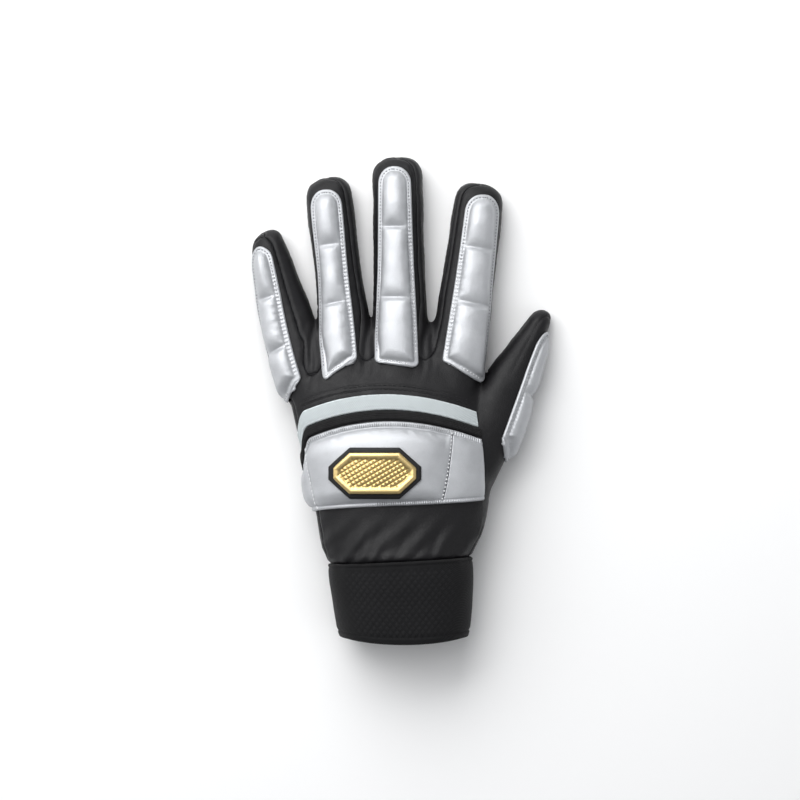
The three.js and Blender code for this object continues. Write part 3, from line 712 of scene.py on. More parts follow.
def laid(form, share, around):
    """The points of the hand's surface under places on a form. around is degrees away from straight up."""
    angle = np.radians(90 - around)
    base = form_point(form, share, angle, 0.0)
    out = unit(form_point(form, share, angle, 3.0) - base).reshape(-1, 3)
    above = 1 - smoothstep(66, 82, np.abs(around + 0 * share)).ravel()
    move = np.zeros_like(out)
    for i, (point, normal) in enumerate(zip(base.reshape(-1, 3), out)):
        hit = form_tree.ray_cast(Vector(point + 12 * normal), Vector(-normal), 18)[0]
        if hit is not None:
            move[i] = np.array(hit) - point
        # where another form stands higher, the layer is lifted straight up onto it
        hit = form_tree.ray_cast(Vector((point[0], point[1], 70)), Vector((0, 0, -1)), 70)[0]
        if hit is not None and above[i] > 0:
            lift = hit[2] - point[2]
            move[i] = mix(move[i], np.array([0, 0, lift]), above[i] * smoothstep(0.2, 1.6, lift))
    if base.ndim == 3:
        rows, columns, _ = base.shape
        move = relaxed(move, grid_edges(rows, columns), 70)
    return base + move.reshape(base.shape)


def grid_edges(rows, columns):
    index = np.arange(rows * columns).reshape(rows, columns)
    across = np.stack([index[:, :-1].ravel(), index[:, 1:].ravel()], axis=1)
    down = np.stack([index[:-1].ravel(), index[1:].ravel()], axis=1)
    return np.concatenate([across, down])


def grid_normals(grid):
    along_rows, along_columns = np.gradient(grid, axis=1), np.gradient(grid, axis=0)
    normal = unit(np.cross(along_rows, along_columns))
    rows, columns, _ = grid.shape
    smooth = relaxed(normal.reshape(-1, 3), grid_edges(rows, columns), 12)
    return unit(smooth).reshape(grid.shape)


def runs(base, axis):
    """Distances along a grid's lines from their first points."""
    step = np.linalg.norm(np.diff(base, axis=axis), axis=-1)
    return np.insert(np.cumsum(step, axis=axis), 0, 0, axis=axis)


def rim_of(rows, columns):
    """Indices of a grid's points round its edge, anticlockwise seen from above."""
    index = np.arange(rows * columns).reshape(rows, columns)
    return np.concatenate([index[0, :-1], index[:-1, -1], index[-1, :0:-1], index[:0:-1, 0]])


def layer_faces(rows, columns):
    """Quads of a closed layer: the upper grid, then the lower grid, then the rim between them."""
    index = np.arange(rows * columns).reshape(rows, columns)
    upper = np.stack([index[:-1, :-1], index[:-1, 1:], index[1:, 1:], index[1:, :-1]], axis=-1).reshape(-1, 4)
    lower = upper[:, ::-1] + rows * columns
    rim = rim_of(rows, columns)
    ahead = np.roll(rim, -1)
    sides = np.stack([ahead, rim, rim + rows * columns, ahead + rows * columns], axis=-1)
    return np.concatenate([upper, lower, sides])


class Sheet:
    """A grid of points laid on the leather, with the distances that its relief is made from."""

    def __init__(self, base, seams=()):
        self.rows, self.columns, _ = base.shape
        self.base = base
        self.normal = grid_normals(base)
        self.rim = rim_of(self.rows, self.columns)
        flat = base.reshape(-1, 3)
        outline = flat[self.rim]
        step = np.linalg.norm(np.roll(outline, -1, axis=0) - outline, axis=1)
        self.run = np.concatenate([[0], np.cumsum(step)[:-1]])
        dense = [mix(outline, np.roll(outline, -1, axis=0), t) for t in (0, 0.25, 0.5, 0.75)]
        gap, at = nearest(tree_of(np.concatenate(dense)), flat)
        self.edge = gap.reshape(self.rows, self.columns)
        corner, quarters = at % len(outline), at // len(outline)
        self.edge_run = (self.run[corner] + step[corner] * quarters / 4).reshape(self.rows, self.columns)
        self.seam = np.full((self.rows, self.columns), 99.0)
        self.seam_lines = [self.line(line) for line in seams]
        for line in self.seam_lines:
            fine = np.concatenate([mix(line[:-1], line[1:], t) for t in (0, 0.5)] + [line[-1:]])
            gap, _ = nearest(tree_of(fine), flat)
            self.seam = np.minimum(self.seam, gap.reshape(self.rows, self.columns))

    def line(self, places):
        """Points of the grid at fractional (row, column) places."""
        rows, columns = np.asarray(places, float).T
        r, c = np.clip(rows.astype(int), 0, self.rows - 2), np.clip(columns.astype(int), 0, self.columns - 2)
        u, v = (columns - c)[:, None], (rows - r)[:, None]
        low = mix(self.base[r, c], self.base[r, c + 1], u)
        return mix(low, mix(self.base[r + 1, c], self.base[r + 1, c + 1], u), v)

    def solid(self, height, thickness=None):
        """Points of the closed layer with its upper side at a height over the leather."""
        self.top = self.base + self.normal * (LAY_GAP + height)[..., None]
        under = self.base + self.normal * LAY_GAP if thickness is None else self.top - self.normal * thickness[..., None]
        return np.concatenate([self.top.reshape(-1, 3), under.reshape(-1, 3)])

    def inset_outline(self, inset):
        """A line on the upper side at a distance from the edge, with the normals there."""
        outline = self.base.reshape(-1, 3)[self.rim]
        ahead = unit(np.roll(outline, -2, axis=0) - np.roll(outline, 2, axis=0))
        inward = np.cross(self.normal.reshape(-1, 3)[self.rim], ahead)
        return self.on_top(outline + unit(inward) * inset)

    def on_top(self, line):
        """A line moved onto the upper side, and the normals there."""
        if not hasattr(self, "top_tree"):
            self.top_tree = tree_of(self.top.reshape(-1, 3))
        top, normal = self.top.reshape(-1, 3), self.normal.reshape(-1, 3)
        points, normals = [], []
        for point in line:
            found = self.top_tree.find_n(point, 4)
            share = np.array([1 / (f[2] + 0.05) ** 2 for f in found])
            share /= share.sum()
            near = [f[1] for f in found]
            middle, out = share @ top[near], unit(share @ normal[near])
            points.append(point + out * ((middle - point) @ out))
            normals.append(out)
        return np.array(points), np.array(normals)


def edge_gathers(sheet, strength, seed, pitch=STITCH_PITCH, inset=STITCH_INSET):
    """Creases between the stitches round a pad's edge, and the wrinkles that run from them into the cushion."""
    edge, run = sheet.edge.ravel(), sheet.edge_run.ravel()
    creases = -0.2 * np.cos(2 * np.pi * run / pitch) * bump(edge, inset + 0.4, 1.2) * smoothstep(0.2, 0.8, edge)
    wrinkles = 0.09 * ripple(run, 4.4, seed) * bump(edge, inset + 2.2, 1.5)
    return (strength.ravel() * (creases + wrinkles)).reshape(sheet.edge.shape)


def rounded(distance, radius, low=0.35):
    """How high a rounded edge stands at a distance from it, as a share that starts at low."""
    return mix(low, 1, np.sqrt(1 - (1 - np.clip(distance / radius, 0, 1)) ** 2))


def puff(distance, fullness):
    """How high a stuffed cushion stands at a distance from its edge, as a share."""
    return (1 - (1 - np.clip(distance / fullness, 0, 1)) ** 2.2) ** 0.8


def sewn(distance, width, depth=0.94):
    """What is left of a cushion's height at a distance from a seam sewn across it."""
    return 1 - depth * np.exp(-((distance / width) ** 1.1))


def swollen(sheet, cushions, free, seam_rows=(), evened=1):
    """The relief of stuffed cushions, blown up by a cloth simulation from a slacker start. free is where the
    cloth isn't sewn down, and evened is how many steps its wrinkles are smoothed."""
    rows = np.unique(np.concatenate([np.arange(0, sheet.rows, 2), [sheet.rows - 1], seam_rows]).astype(int))
    columns = np.unique(np.append(np.arange(0, sheet.columns, 2), sheet.columns - 1))
    some = np.ix_(rows, columns)
    base, out, slack = sheet.base[some], sheet.normal[some], SLACK * cushions[some]
    top = base + out * (0.6 + slack)[..., None]
    points = np.concatenate([top.reshape(-1, 3), base.reshape(-1, 3)]) * SIMULATION_SCALE
    mesh = bpy.data.meshes.new("stuffing")
    mesh.from_pydata(points.tolist(), [], layer_faces(len(rows), len(columns)).tolist())
    obj = bpy.data.objects.new("stuffing", mesh)
    bpy.context.scene.collection.objects.link(obj)
    held = obj.vertex_groups.new(name="sewn")
    held.add(np.flatnonzero(~free[some].ravel()).tolist(), 1, "REPLACE")
    held.add(list(range(top.size // 3, len(points))), 1, "REPLACE")
    cloth_modifier = obj.modifiers.new("stuffing", "CLOTH")
    settings = cloth_modifier.settings
    settings.quality = 6
    settings.mass = 0.25
    settings.tension_stiffness = settings.compression_stiffness = 14
    settings.shear_stiffness = 6
    settings.bending_stiffness = 0.6
    settings.vertex_group_mass = "sewn"
    settings.use_pressure = True
    settings.uniform_pressure_force = STUFFING_PRESSURE
    settings.effector_weights.gravity = 0
    cloth_modifier.collision_settings.use_collision = False
    cloth_modifier.point_cache.frame_end = STUFFING_FRAMES
    scene = bpy.context.scene
    for step in range(1, STUFFING_FRAMES + 1):
        scene.frame_set(step)
    evaluated = obj.evaluated_get(bpy.context.evaluated_depsgraph_get())
    found = np.empty(len(points) * 3)
    evaluated.data.vertices.foreach_get("co", found)
    bpy.data.objects.remove(obj)
    scene.frame_set(1)
    moved = found.reshape(-1, 3)[: top.size // 3].reshape(top.shape) / SIMULATION_SCALE - top
    swell = np.clip(np.einsum("rck,rck->rc", moved, out), -0.5, SWELL_CAP)
    swell = relaxed(swell.reshape(-1, 1), grid_edges(*swell.shape), evened).reshape(swell.shape)
    risen = swell + slack
    fine = np.stack([along(rows, risen[:, c], np.arange(sheet.rows)) for c in range(len(columns))], axis=1)
    return np.stack([along(columns, fine[r], np.arange(sheet.columns)) for r in range(sheet.rows)])


def cushion_place(v, seams):
    """Where points lie between a pad's seams, from -1 at the low end of their cushion to 1 at its high end."""
    ends = np.array([0, *seams, 1])
    own = np.clip(np.searchsorted(ends, v, side="right") - 1, 0, len(seams))
    return 2 * (v - ends[own]) / (ends[own + 1] - ends[own]) - 1


def cushion_height(sheet, flange, flange_width, rise, fullness, place, seam_rows=()):
    """The relief of a stuffed pad: a flange sewn flat round its edge, and barrel-shaped cushions between its
    seams. A cushion falls gently to the seam at its low end and steeply at its high end."""
    groove = 0.3 * bump(sheet.edge, flange_width - 0.1, 0.4) + 0.2 * bump(sheet.edge, STITCH_INSET, 0.4)
    cushions = rise * puff(sheet.edge - flange_width, fullness) * (1 - 0.26 * place**2)
    cushions = cushions * sewn(sheet.seam, np.where(place < 0, 2.7, 1.1))
    cushions = swollen(sheet, cushions, (sheet.edge > flange_width) & (sheet.seam > 0.45), seam_rows)
    return flange * rounded(sheet.edge, 0.9) - groove + cushions


# Stitches


def capsules(points, forward, normal, length, radius, arch=0.25):
    """Joined little rods, one at each point along forward, bowed away from the surface."""
    stations = np.array([-1.0, -0.72, 0.0, 0.72, 1.0])
    radii = radius * np.array([0.25, 0.85, 1.0, 0.85, 0.25])
    turn = np.linspace(0, 2 * np.pi, 7)[:-1]
    side = np.cross(forward, normal)
    rings = []
    for station, size in zip(stations, radii):
        middle = points + forward * station * length / 2 + normal * arch * radius * (1 - 1.6 * station**2)
        ring = middle[:, None] + size * (
            side[:, None] * np.cos(turn)[None, :, None] + 0.8 * normal[:, None] * np.sin(turn)[None, :, None]
        )
        rings.append(ring)
    rods = np.stack(rings, axis=1)
    count, rows, sides, _ = rods.shape
    index = np.arange(rows * sides).reshape(rows, sides)
    a, b = index[:-1], np.roll(index, -1, axis=1)[:-1]
    c, d = np.roll(index, -1, axis=1)[1:], index[1:]
    faces = np.stack([a, b, c, d], axis=-1).reshape(-1, 4)
    every = (faces[None] + (np.arange(count) * rows * sides)[:, None, None]).reshape(-1, 4)
    return rods.reshape(-1, 3), every


class Thread:
    """Stitches of one colour, gathered into one mesh."""

    def __init__(self):
        self.points, self.faces, self.count = [], [], 0

    def sew(self, line, normals, pitch=STITCH_PITCH, length=STITCH_LENGTH, radius=THREAD_RADIUS, only=None,
            crossing=False):
        """Adds a row of stitches along a line, or only at some of its points, lying along it or crossing it."""
        run = np.concatenate([[0], np.cumsum(np.linalg.norm(np.diff(line, axis=0), axis=1))])
        stops = np.arange(pitch / 2, run[-1] - pitch / 3, pitch)
        if only is not None:
            stops = stops[np.interp(stops, run, only.astype(float)) > 0.5]
        at = lambda values, where: np.stack([np.interp(where, run, values[:, k]) for k in range(3)], axis=1)
        middles, out = at(line, stops), unit(at(normals, stops))
        forward = unit(at(line, stops + 0.5) - at(line, stops - 0.5))
        if crossing:
            forward = np.cross(out, forward)
        points, faces = capsules(middles, forward, out, length, radius)
        self.points.append(points)
        self.faces.append(faces + self.count)
        self.count += len(points)

    def mesh(self, name):
        return mesh_object(name, np.concatenate(self.points), np.concatenate(self.faces))


# Shader node groups


def group(name, inputs, outputs):
    tree = bpy.data.node_groups.new(name, "ShaderNodeTree")
    for label, kind, value in inputs:
        socket = tree.interface.new_socket(name=label, in_out="INPUT", socket_type=kind)
        if value is not None:
            socket.default_value = value
    for label, kind in outputs:
        tree.interface.new_socket(name=label, in_out="OUTPUT", socket_type=kind)
    return tree, tree.nodes.new("NodeGroupInput"), tree.nodes.new("NodeGroupOutput")


def node(tree, kind, inputs=(), **settings):
    """A node with its settings, and its inputs given as (socket, value or the output that feeds it)."""
    made = tree.nodes.new(kind)
    for key, value in settings.items():
        setattr(made, key, value)
    for socket, value in inputs:
        if isinstance(value, bpy.types.NodeSocket):
            tree.links.new(value, made.inputs[socket])
        else:
            made.inputs[socket].default_value = value
    return made


def math_node(tree, operation, a, b=0.0, clamp=False):
    return node(tree, "ShaderNodeMath", [(0, a), (1, b)], operation=operation, use_clamp=clamp).outputs[0]


def blend_node(tree, share, a, b):
    made = node(tree, "ShaderNodeMix", data_type="RGBA")
    for socket, value in ((0, share), (6, a), (7, b)):
        if isinstance(value, bpy.types.NodeSocket):
            tree.links.new(value, made.inputs[socket])
        else:
            made.inputs[socket].default_value = value
    return made.outputs[2]


def leather_grain_group():
    """Pebbled grain of leather: little cells with creases between them, uneven in size."""
    tree, given, out = group(
        "leather_grain",
        [("Cells per metre", "NodeSocketFloat", 1100.0), ("Crease depth", "NodeSocketFloat", 0.5)],
        [("Height", "NodeSocketFloat"), ("Creases", "NodeSocketFloat")],
    )
    place = node(tree, "ShaderNodeTexCoord").outputs["Object"]
    wobble = node(tree, "ShaderNodeTexNoise", [("Vector", place), ("Scale", 420.0), ("Detail", 2.0)])
    shifted = node(tree, "ShaderNodeVectorMath", [(0, wobble.outputs["Color"]), (3, 0.0011)], operation="SCALE")
    moved = node(tree, "ShaderNodeVectorMath", [(0, place), (1, shifted.outputs[0])], operation="ADD").outputs[0]
    cells = node(
        tree, "ShaderNodeTexVoronoi", [("Vector", moved), ("Scale", given.outputs[0])], feature="DISTANCE_TO_EDGE"
    )
    creases = node(
        tree, "ShaderNodeMapRange", [("Value", cells.outputs["Distance"]), ("From Max", 0.16), ("To Min", 1.0), ("To Max", 0.0)]
    ).outputs[0]
    fine = node(tree, "ShaderNodeTexNoise", [("Vector", place), ("Scale", 2600.0), ("Detail", 3.0)])
    deep = math_node(tree, "MULTIPLY", creases, given.outputs[1])
    height = math_node(tree, "SUBTRACT", math_node(tree, "MULTIPLY", fine.outputs[0], 0.35), deep)
    tree.links.new(height, out.inputs[0])
    tree.links.new(creases, out.inputs[1])
    return tree


def rub_and_light_group():
    """Rubbed edges, and painted light on the raised knit of the cuff: where the piece's own value for these is high,
    broken up by noise.
    """
    tree, given, out = group(
        "rubbed_edges_and_painted_light",
        [("Noise per metre", "NodeSocketFloat", 260.0), ("Amount", "NodeSocketFloat", 1.0),
         ("Breakup", "NodeSocketFloat", 1.0)],
        [("Mask", "NodeSocketFloat"), ("Cloud", "NodeSocketFloat")],
    )
    wear_and_painted_light = node(tree, "ShaderNodeAttribute", attribute_name="wear_and_painted_light", attribute_type="GEOMETRY").outputs["Fac"]
    place = node(tree, "ShaderNodeTexCoord").outputs["Object"]
    cloud = node(tree, "ShaderNodeTexNoise", [("Vector", place), ("Scale", given.outputs[0]), ("Detail", 4.0)])
    broken = node(
        tree, "ShaderNodeMapRange", [("Value", cloud.outputs[0]), ("From Min", 0.35), ("From Max", 0.7)]
    ).outputs[0]
    kept = math_node(tree, "SUBTRACT", 1.0, math_node(tree, "MULTIPLY", math_node(tree, "SUBTRACT", 1.0, broken), given.outputs[2]))
    mask = math_node(tree, "MULTIPLY", math_node(tree, "MULTIPLY", wear_and_painted_light, kept), given.outputs[1], clamp=True)
    tree.links.new(mask, out.inputs[0])
    tree.links.new(cloud.outputs[0], out.inputs[1])
    return tree


def thread_weave_group():
    """Fine woven or knitted threads in two directions, read on the plan and the side of the piece."""
    tree, given, out = group(
        "thread_weave",
        [("Threads per metre", "NodeSocketFloat", 1600.0), ("Stretch", "NodeSocketFloat", 1.0)],
        [("Height", "NodeSocketFloat"), ("Threads", "NodeSocketFloat")],
    )
    place = node(tree, "ShaderNodeSeparateXYZ", [(0, node(tree, "ShaderNodeTexCoord").outputs["Object"])])
    side = math_node(tree, "ADD", place.outputs[0], place.outputs[2])
    turn = math_node(tree, "MULTIPLY", given.outputs[0], 6.283)
    a = math_node(tree, "SINE", math_node(tree, "MULTIPLY", side, turn))
    b = math_node(
        tree, "SINE", math_node(tree, "MULTIPLY", math_node(tree, "MULTIPLY", place.outputs[1], turn), given.outputs[1])
    )
    woven = math_node(tree, "ADD", math_node(tree, "MULTIPLY", math_node(tree, "MULTIPLY", a, b), 0.5), 0.5)
    tree.links.new(woven, out.inputs[0])
    tree.links.new(math_node(tree, "POWER", woven, 2.0), out.inputs[1])
    return tree


GRAIN, RUB_AND_LIGHT, WEAVE = leather_grain_group(), rub_and_light_group(), thread_weave_group()


def shared_node(tree, shared, **values):
    made = tree.nodes.new("ShaderNodeGroup")
    made.node_tree = shared
    for key, value in values.items():
        made.inputs[key.replace("_", " ").capitalize()].default_value = value
    return made


def material(name, metallic=0.0, specular=0.5, sheen=0.0):
    made = bpy.data.materials.new(name)
    made.use_nodes = True
    tree = made.node_tree
    shader = tree.nodes["Principled BSDF"]
    shader.inputs["Metallic"].default_value = metallic
    shader.inputs["Specular IOR Level"].default_value = specular
    shader.inputs["Sheen Weight"].default_value = sheen
    return made, tree, shader


def relief(tree, shader, height, strength, distance):
    bumped = node(tree, "ShaderNodeBump", [("Height", height), ("Strength", strength), ("Distance", distance)])
    tree.links.new(bumped.outputs[0], shader.inputs["Normal"])


def leather(name, dark, worn, roughness, cells, depth, metallic=0.0, crease_unshaded=0.75, specular=0.5):
    """Leather with pebbled grain, cloudy colour, rubbed edges, painted shade in the grain's creases and glossier high
    spots.
    """
    made, tree, shader = material(name, metallic=metallic, specular=specular)
    grain = shared_node(tree, GRAIN, cells_per_metre=cells, crease_depth=depth)
    rubbed_and_lit = shared_node(tree, RUB_AND_LIGHT, noise_per_metre=240.0, amount=0.8)
    base = blend_node(tree, rubbed_and_lit.outputs["Cloud"], (*dark, 1), (*(c * 1.25 for c in dark), 1))
    rubbed_base = blend_node(tree, rubbed_and_lit.outputs["Mask"], base, (*worn, 1))
    # the grain's creases are darkened: painted shade
    crease_shade = math_node(tree, "MULTIPLY", grain.outputs["Creases"], 1 - crease_unshaded)
    shown = blend_node(tree, crease_shade, rubbed_base, (*(c * 0.4 for c in dark), 1))
    tree.links.new(shown, shader.inputs["Base Color"])
    gloss = node(
        tree, "ShaderNodeMapRange",
        [("Value", rubbed_and_lit.outputs["Cloud"]), ("From Min", 0.3), ("From Max", 0.7),
         ("To Min", roughness - 0.05), ("To Max", roughness + 0.07)],
    ).outputs[0]
    tree.links.new(gloss, shader.inputs["Roughness"])
    relief(tree, shader, grain.outputs["Height"], 0.55, 0.00016)
    return made


def cloth(name, dark, light, roughness, threads, stretch, relief_depth=0.00015, sheen=0.2, breakup=1.0):
    """Woven or knitted cloth, its thread tops lighter and the gaps between them darker: painted light and shade."""
    made, tree, shader = material(name, specular=0.25, sheen=sheen)
    weave = shared_node(tree, WEAVE, threads_per_metre=threads, stretch=stretch)
    rubbed_and_lit = shared_node(tree, RUB_AND_LIGHT, noise_per_metre=420.0, amount=1.0, breakup=breakup)
    # thread tops lighter, gaps between them darker: painted light and shade in the weave
    base = blend_node(tree, weave.outputs["Threads"], (*dark, 1), (*light, 1))
    cloudy = math_node(tree, "MULTIPLY", rubbed_and_lit.outputs["Cloud"], 0.3)
    shown = blend_node(tree, cloudy, base, (*(c * 0.55 for c in dark), 1))
    # lighter where the piece's values are high: rubbed wear, and on the cuff painted light on its raised lozenges
    lifted = blend_node(tree, rubbed_and_lit.outputs["Mask"], shown, (*(min(1, c * 1.5) for c in light), 1))
    tree.links.new(lifted, shader.inputs["Base Color"])
    rough = node(
        tree, "ShaderNodeMapRange",
        [("Value", weave.outputs["Height"]), ("To Min", min(1, roughness + 0.06)), ("To Max", roughness - 0.08)],
    ).outputs[0]
    tree.links.new(rough, shader.inputs["Roughness"])
    relief(tree, shader, weave.outputs["Height"], 0.6, relief_depth)
    return made


def metal(name, colour, deep, roughness):
    """Polished gold-coloured metal, darker in its hollows."""
    made, tree, shader = material(name, metallic=1.0)
    rubbed_and_lit = shared_node(tree, RUB_AND_LIGHT, noise_per_metre=700.0, amount=1.0)
    hollows = node(tree, "ShaderNodeAttribute", attribute_name="wear_and_painted_light", attribute_type="GEOMETRY").outputs["Fac"]
    base = blend_node(tree, hollows, (*colour, 1), (*deep, 1))
    tree.links.new(base, shader.inputs["Base Color"])
    gloss = node(
        tree, "ShaderNodeMapRange",
        [("Value", rubbed_and_lit.outputs["Cloud"]), ("From Min", 0.3), ("From Max", 0.7),
         ("To Min", roughness - 0.05), ("To Max", roughness + 0.08)],
    ).outputs[0]
    tree.links.new(gloss, shader.inputs["Roughness"])
    relief(tree, shader, rubbed_and_lit.outputs["Cloud"], 0.1, 0.00005)
    return made


black_leather = leather("black_leather", (0.0075, 0.0073, 0.0082), (0.02, 0.02, 0.0215), 0.46, 950.0, 0.5, specular=0.24)
# The fourchettes' leather is the black leather made lighter: painted light on the finger side walls, which face away
# from the lamps.
lit_side_leather = leather("lit_side_leather", (0.0098, 0.0095, 0.0105), (0.024, 0.024, 0.0255), 0.5, 950.0, 0.5, specular=0.25)
silver_leather = leather(
    "silver_leather", (0.42, 0.43, 0.447), (0.53, 0.54, 0.56), 0.48, 1300.0, 0.28, metallic=0.55, crease_unshaded=0.93
)
grey_tape = cloth("grey_tape", (0.44, 0.48, 0.49), (0.54, 0.585, 0.595), 0.75, 900.0, 1.0, 0.0001, 0.1)
black_elastic = cloth("black_elastic", (0.005, 0.005, 0.0055), (0.014, 0.0135, 0.014), 0.85, 1100.0, 0.35, sheen=0.05)
black_knit = cloth("black_knit", (0.0028, 0.0028, 0.0033), (0.0095, 0.0095, 0.0105), 0.88, 1300.0, 0.8, sheen=0.05, breakup=0.3)
badge_rubber = leather("badge_rubber", (0.006, 0.006, 0.0065), (0.012, 0.012, 0.012), 0.45, 2200.0, 0.2, specular=0.3)
badge_gold = metal("badge_gold", (0.7, 0.53, 0.24), (0.34, 0.23, 0.08), 0.36)
white_thread = cloth("white_thread", (0.66, 0.67, 0.68), (0.86, 0.86, 0.87), 0.6, 3000.0, 1.0, 0.00005, 0.1)
# Grey thread: stitches whose grey paints the shade of the needle holes and dents they sit in, also laid under white
# stitches as their painted shade.
hole_shade_thread = cloth("hole_shade_thread", (0.2, 0.205, 0.215), (0.3, 0.305, 0.315), 0.6, 3000.0, 1.0, 0.00005, 0.1)
black_thread = cloth("black_thread", (0.008, 0.008, 0.009), (0.02, 0.02, 0.022), 0.6, 3000.0, 1.0, 0.00005, 0.05)


# The leather panels

for name, (points, quads, wear_and_painted_light, sharp) in leather_panels().items():
    piece = mesh_object(f"{name}_leather", points, quads)
    mark(piece, "wear_and_painted_light", wear_and_painted_light)
    sharpen(piece, sharp)
    wall = piece.modifiers.new("leather wall", "SOLIDIFY")
    wall.thickness = LEATHER_WALL * MM
    wall.offset = -1
    # the fourchettes get the lighter copy of the black leather: painted light on the side walls
    side = name.startswith("fourchette")
    dress(piece, lit_side_leather if side else black_leather, "leather_side" if side else "leather_black", name)

# the grey stitches are real stitches coloured to paint the shade of their needle holes
silver_seams, hole_shade_seams, black_seams = Thread(), Thread(), Thread()


# Finger pads


def pad_sheet(name):
    pad, length = PADS[name], FINGERS[name]["length"] * (PADS[name]["end"] - PADS[name]["start"])
    half_width = np.radians(pad["reach"][1]) * FINGERS[name]["width"] / 2
    round_start = 1 - half_width / length
    closing = round_start + (1 - round_start) * np.sin(np.linspace(0, np.pi / 2, 18))
    straight = np.linspace(0, round_start, int(length * round_start / 0.5))
    v = np.concatenate([straight[:-1], closing])
    u = np.linspace(-1, 1, PAD_COLUMNS)
    past = np.clip((v - round_start) / (1 - round_start), 0, 1)
    corner = 2.6
    left = np.clip(1 - v * length / corner, 0, 1)
    narrowing = np.maximum(0.07, np.sqrt(1 - past**2)) - corner / half_width * (1 - np.sqrt(1 - left**2))
    u_grid, v_grid = np.meshgrid(u, v)
    around = mix(*pad["lean"], v_grid) + u_grid * mix(*pad["reach"], v_grid) * narrowing[:, None]
    around = around + u_grid * np.where(u_grid < 0, *pad["flare"]) * (1 - v_grid) ** 4
    side, _ = round_section(np.radians(90 - around), 2.0, 2.0, 0, 0, 0)
    side = 2 * (side - side[:, :1]) / (side[:, -1:] - side[:, :1]) - 1
    share = mix(pad["start"], pad["end"], v_grid) - pad["slant"] * side * (1 - v_grid) ** 3 / 2 / FINGERS[name]["length"]
    seam_rows = [np.interp(s, v, np.arange(len(v))) for s in pad["seams"]]
    bow = 0.6 * (1 - u**2)  # the seams sag a little in the middle
    seams = [np.stack([row - bow, np.arange(PAD_COLUMNS)], axis=1)[4:-4] for row in seam_rows]
    return Sheet(laid(name, share, around), seams), u_grid, v_grid, np.round(seam_rows)


for order, (name, pad) in enumerate(PADS.items()):
    sheet, u_grid, v_grid, seam_rows = pad_sheet(name)
    place = cushion_place(v_grid, pad["seams"])
    height = cushion_height(sheet, PAD_FLANGE, PAD_FLANGE_WIDTH, PAD_RISE, 5, place, seam_rows)
    low = 1 - smoothstep(0.55, 0.9, v_grid)
    strength = 0.35 + 0.95 * low * smoothstep(-0.2, 0.9, u_grid * pad["gathered"])
    low_row = (1 - smoothstep(0.04, 0.1, v_grid)) * (1 - smoothstep(0.5, 0.7, np.abs(u_grid)))
    strength = strength * smoothstep(0.03, 0.12, v_grid) + 0.35 * low_row
    height = height + edge_gathers(sheet, strength, 40 + 3 * order)
    height = height + 0.16 * ripple(sheet.base.reshape(-1, 3), 11, 70 + order).reshape(height.shape) * smoothstep(3, 6, sheet.edge)
    piece = mesh_object(f"{name}_cushion", sheet.solid(height), layer_faces(sheet.rows, sheet.columns))
    worn = np.clip(bump(sheet.edge, 0, 0.6) + 0.5 * smoothstep(0.6, 1, height / (PAD_FLANGE + PAD_RISE)), 0, 1).ravel()
    mark(piece, "wear_and_painted_light", np.concatenate([worn, worn]))
    dress(piece, silver_leather, "pad_silver", f"{name}_pad", fill=0.7)
    line, normals = (np.concatenate([row, row[:1]]) for row in sheet.inset_outline(STITCH_INSET))
    rim = np.append(sheet.rim, sheet.rim[0])
    white = ((u_grid * pad["gathered"] > 0.9) & (np.abs(v_grid - 0.34) < 0.28)).ravel()[rim]
    silver_seams.sew(line, normals, only=white)
    # grey stitches along the rest of the edge: their grey is painted shade of the needle holes
    hole_shade_seams.sew(line, normals, pitch=1.6, length=0.95, only=(v_grid > 0.06).ravel()[rim] & ~white)
    upward = runs(sheet.base, 0)
    places = [(np.interp(LOW_STITCH_INSET, upward[:, c], np.arange(sheet.rows)), c) for c in range(5, PAD_COLUMNS - 5)]
    line, normals = sheet.on_top(sheet.line(places))
    # a longer grey rod under each white stitch of the low row: painted shade of its needle holes
    hole_shade_seams.sew(line, normals, length=1.7, radius=0.26)
    silver_seams.sew(line, normals, length=1.1, radius=0.36)


# Bands and guard


def bowed_share(high, around):
    angle = np.radians(90 - around)
    side, _ = round_section(angle, 2.0, 2.0, 0, 0, 0)
    fall = SIDE_DROP * smoothstep(-SIDE_START, -SIDE_END, -around) + 0.5 * np.maximum(0, SIDE_END - around)
    return high - (KNUCKLE_BOW * side**2 + fall) / PALM_LENGTH


def band_sheet(band, rows, step):
    around, v = np.meshgrid(np.arange(band["start"], band["end"] + step / 2, step), np.linspace(0, 1, rows))
    share = bowed_share(mix(band["low"], band["high"], v), around)
    return Sheet(laid("palm", share, around)), around, v


sheet, around, v = band_sheet(BANDS["knuckle_band"], 17, 0.6)
height = BANDS["knuckle_band"]["thickness"] * rounded(sheet.edge, 0.7)
height = height + 0.1 * ripple(sheet.base.reshape(-1, 3), 14, 90).reshape(height.shape) - 0.12 * bump(sheet.edge, 1.3, 0.4)
piece = mesh_object("knuckle_tape", sheet.solid(height), layer_faces(sheet.rows, sheet.columns))
mark(piece, "wear_and_painted_light", np.tile(bump(sheet.edge, 0, 0.5).ravel(), 2))
dress(piece, grey_tape, "band_grey", "knuckle_band")

sheet, around, v = band_sheet(BANDS["flex_band"], 29, 0.6)
ribs = 0.22 * np.abs(np.sin(np.pi * v * 5))
height = 0.85 * BANDS["flex_band"]["thickness"] * rounded(sheet.edge, 0.8) + ribs
height = height + 0.14 * ripple(sheet.base.reshape(-1, 3), 9, 92).reshape(height.shape)
piece = mesh_object("flex_elastic", sheet.solid(height), layer_faces(sheet.rows, sheet.columns))
mark(piece, "wear_and_painted_light", np.tile(np.clip(ribs / 0.22, 0, 1).ravel() * 0.5, 2))
dress(piece, black_elastic, "elastic_black", "flex_band")


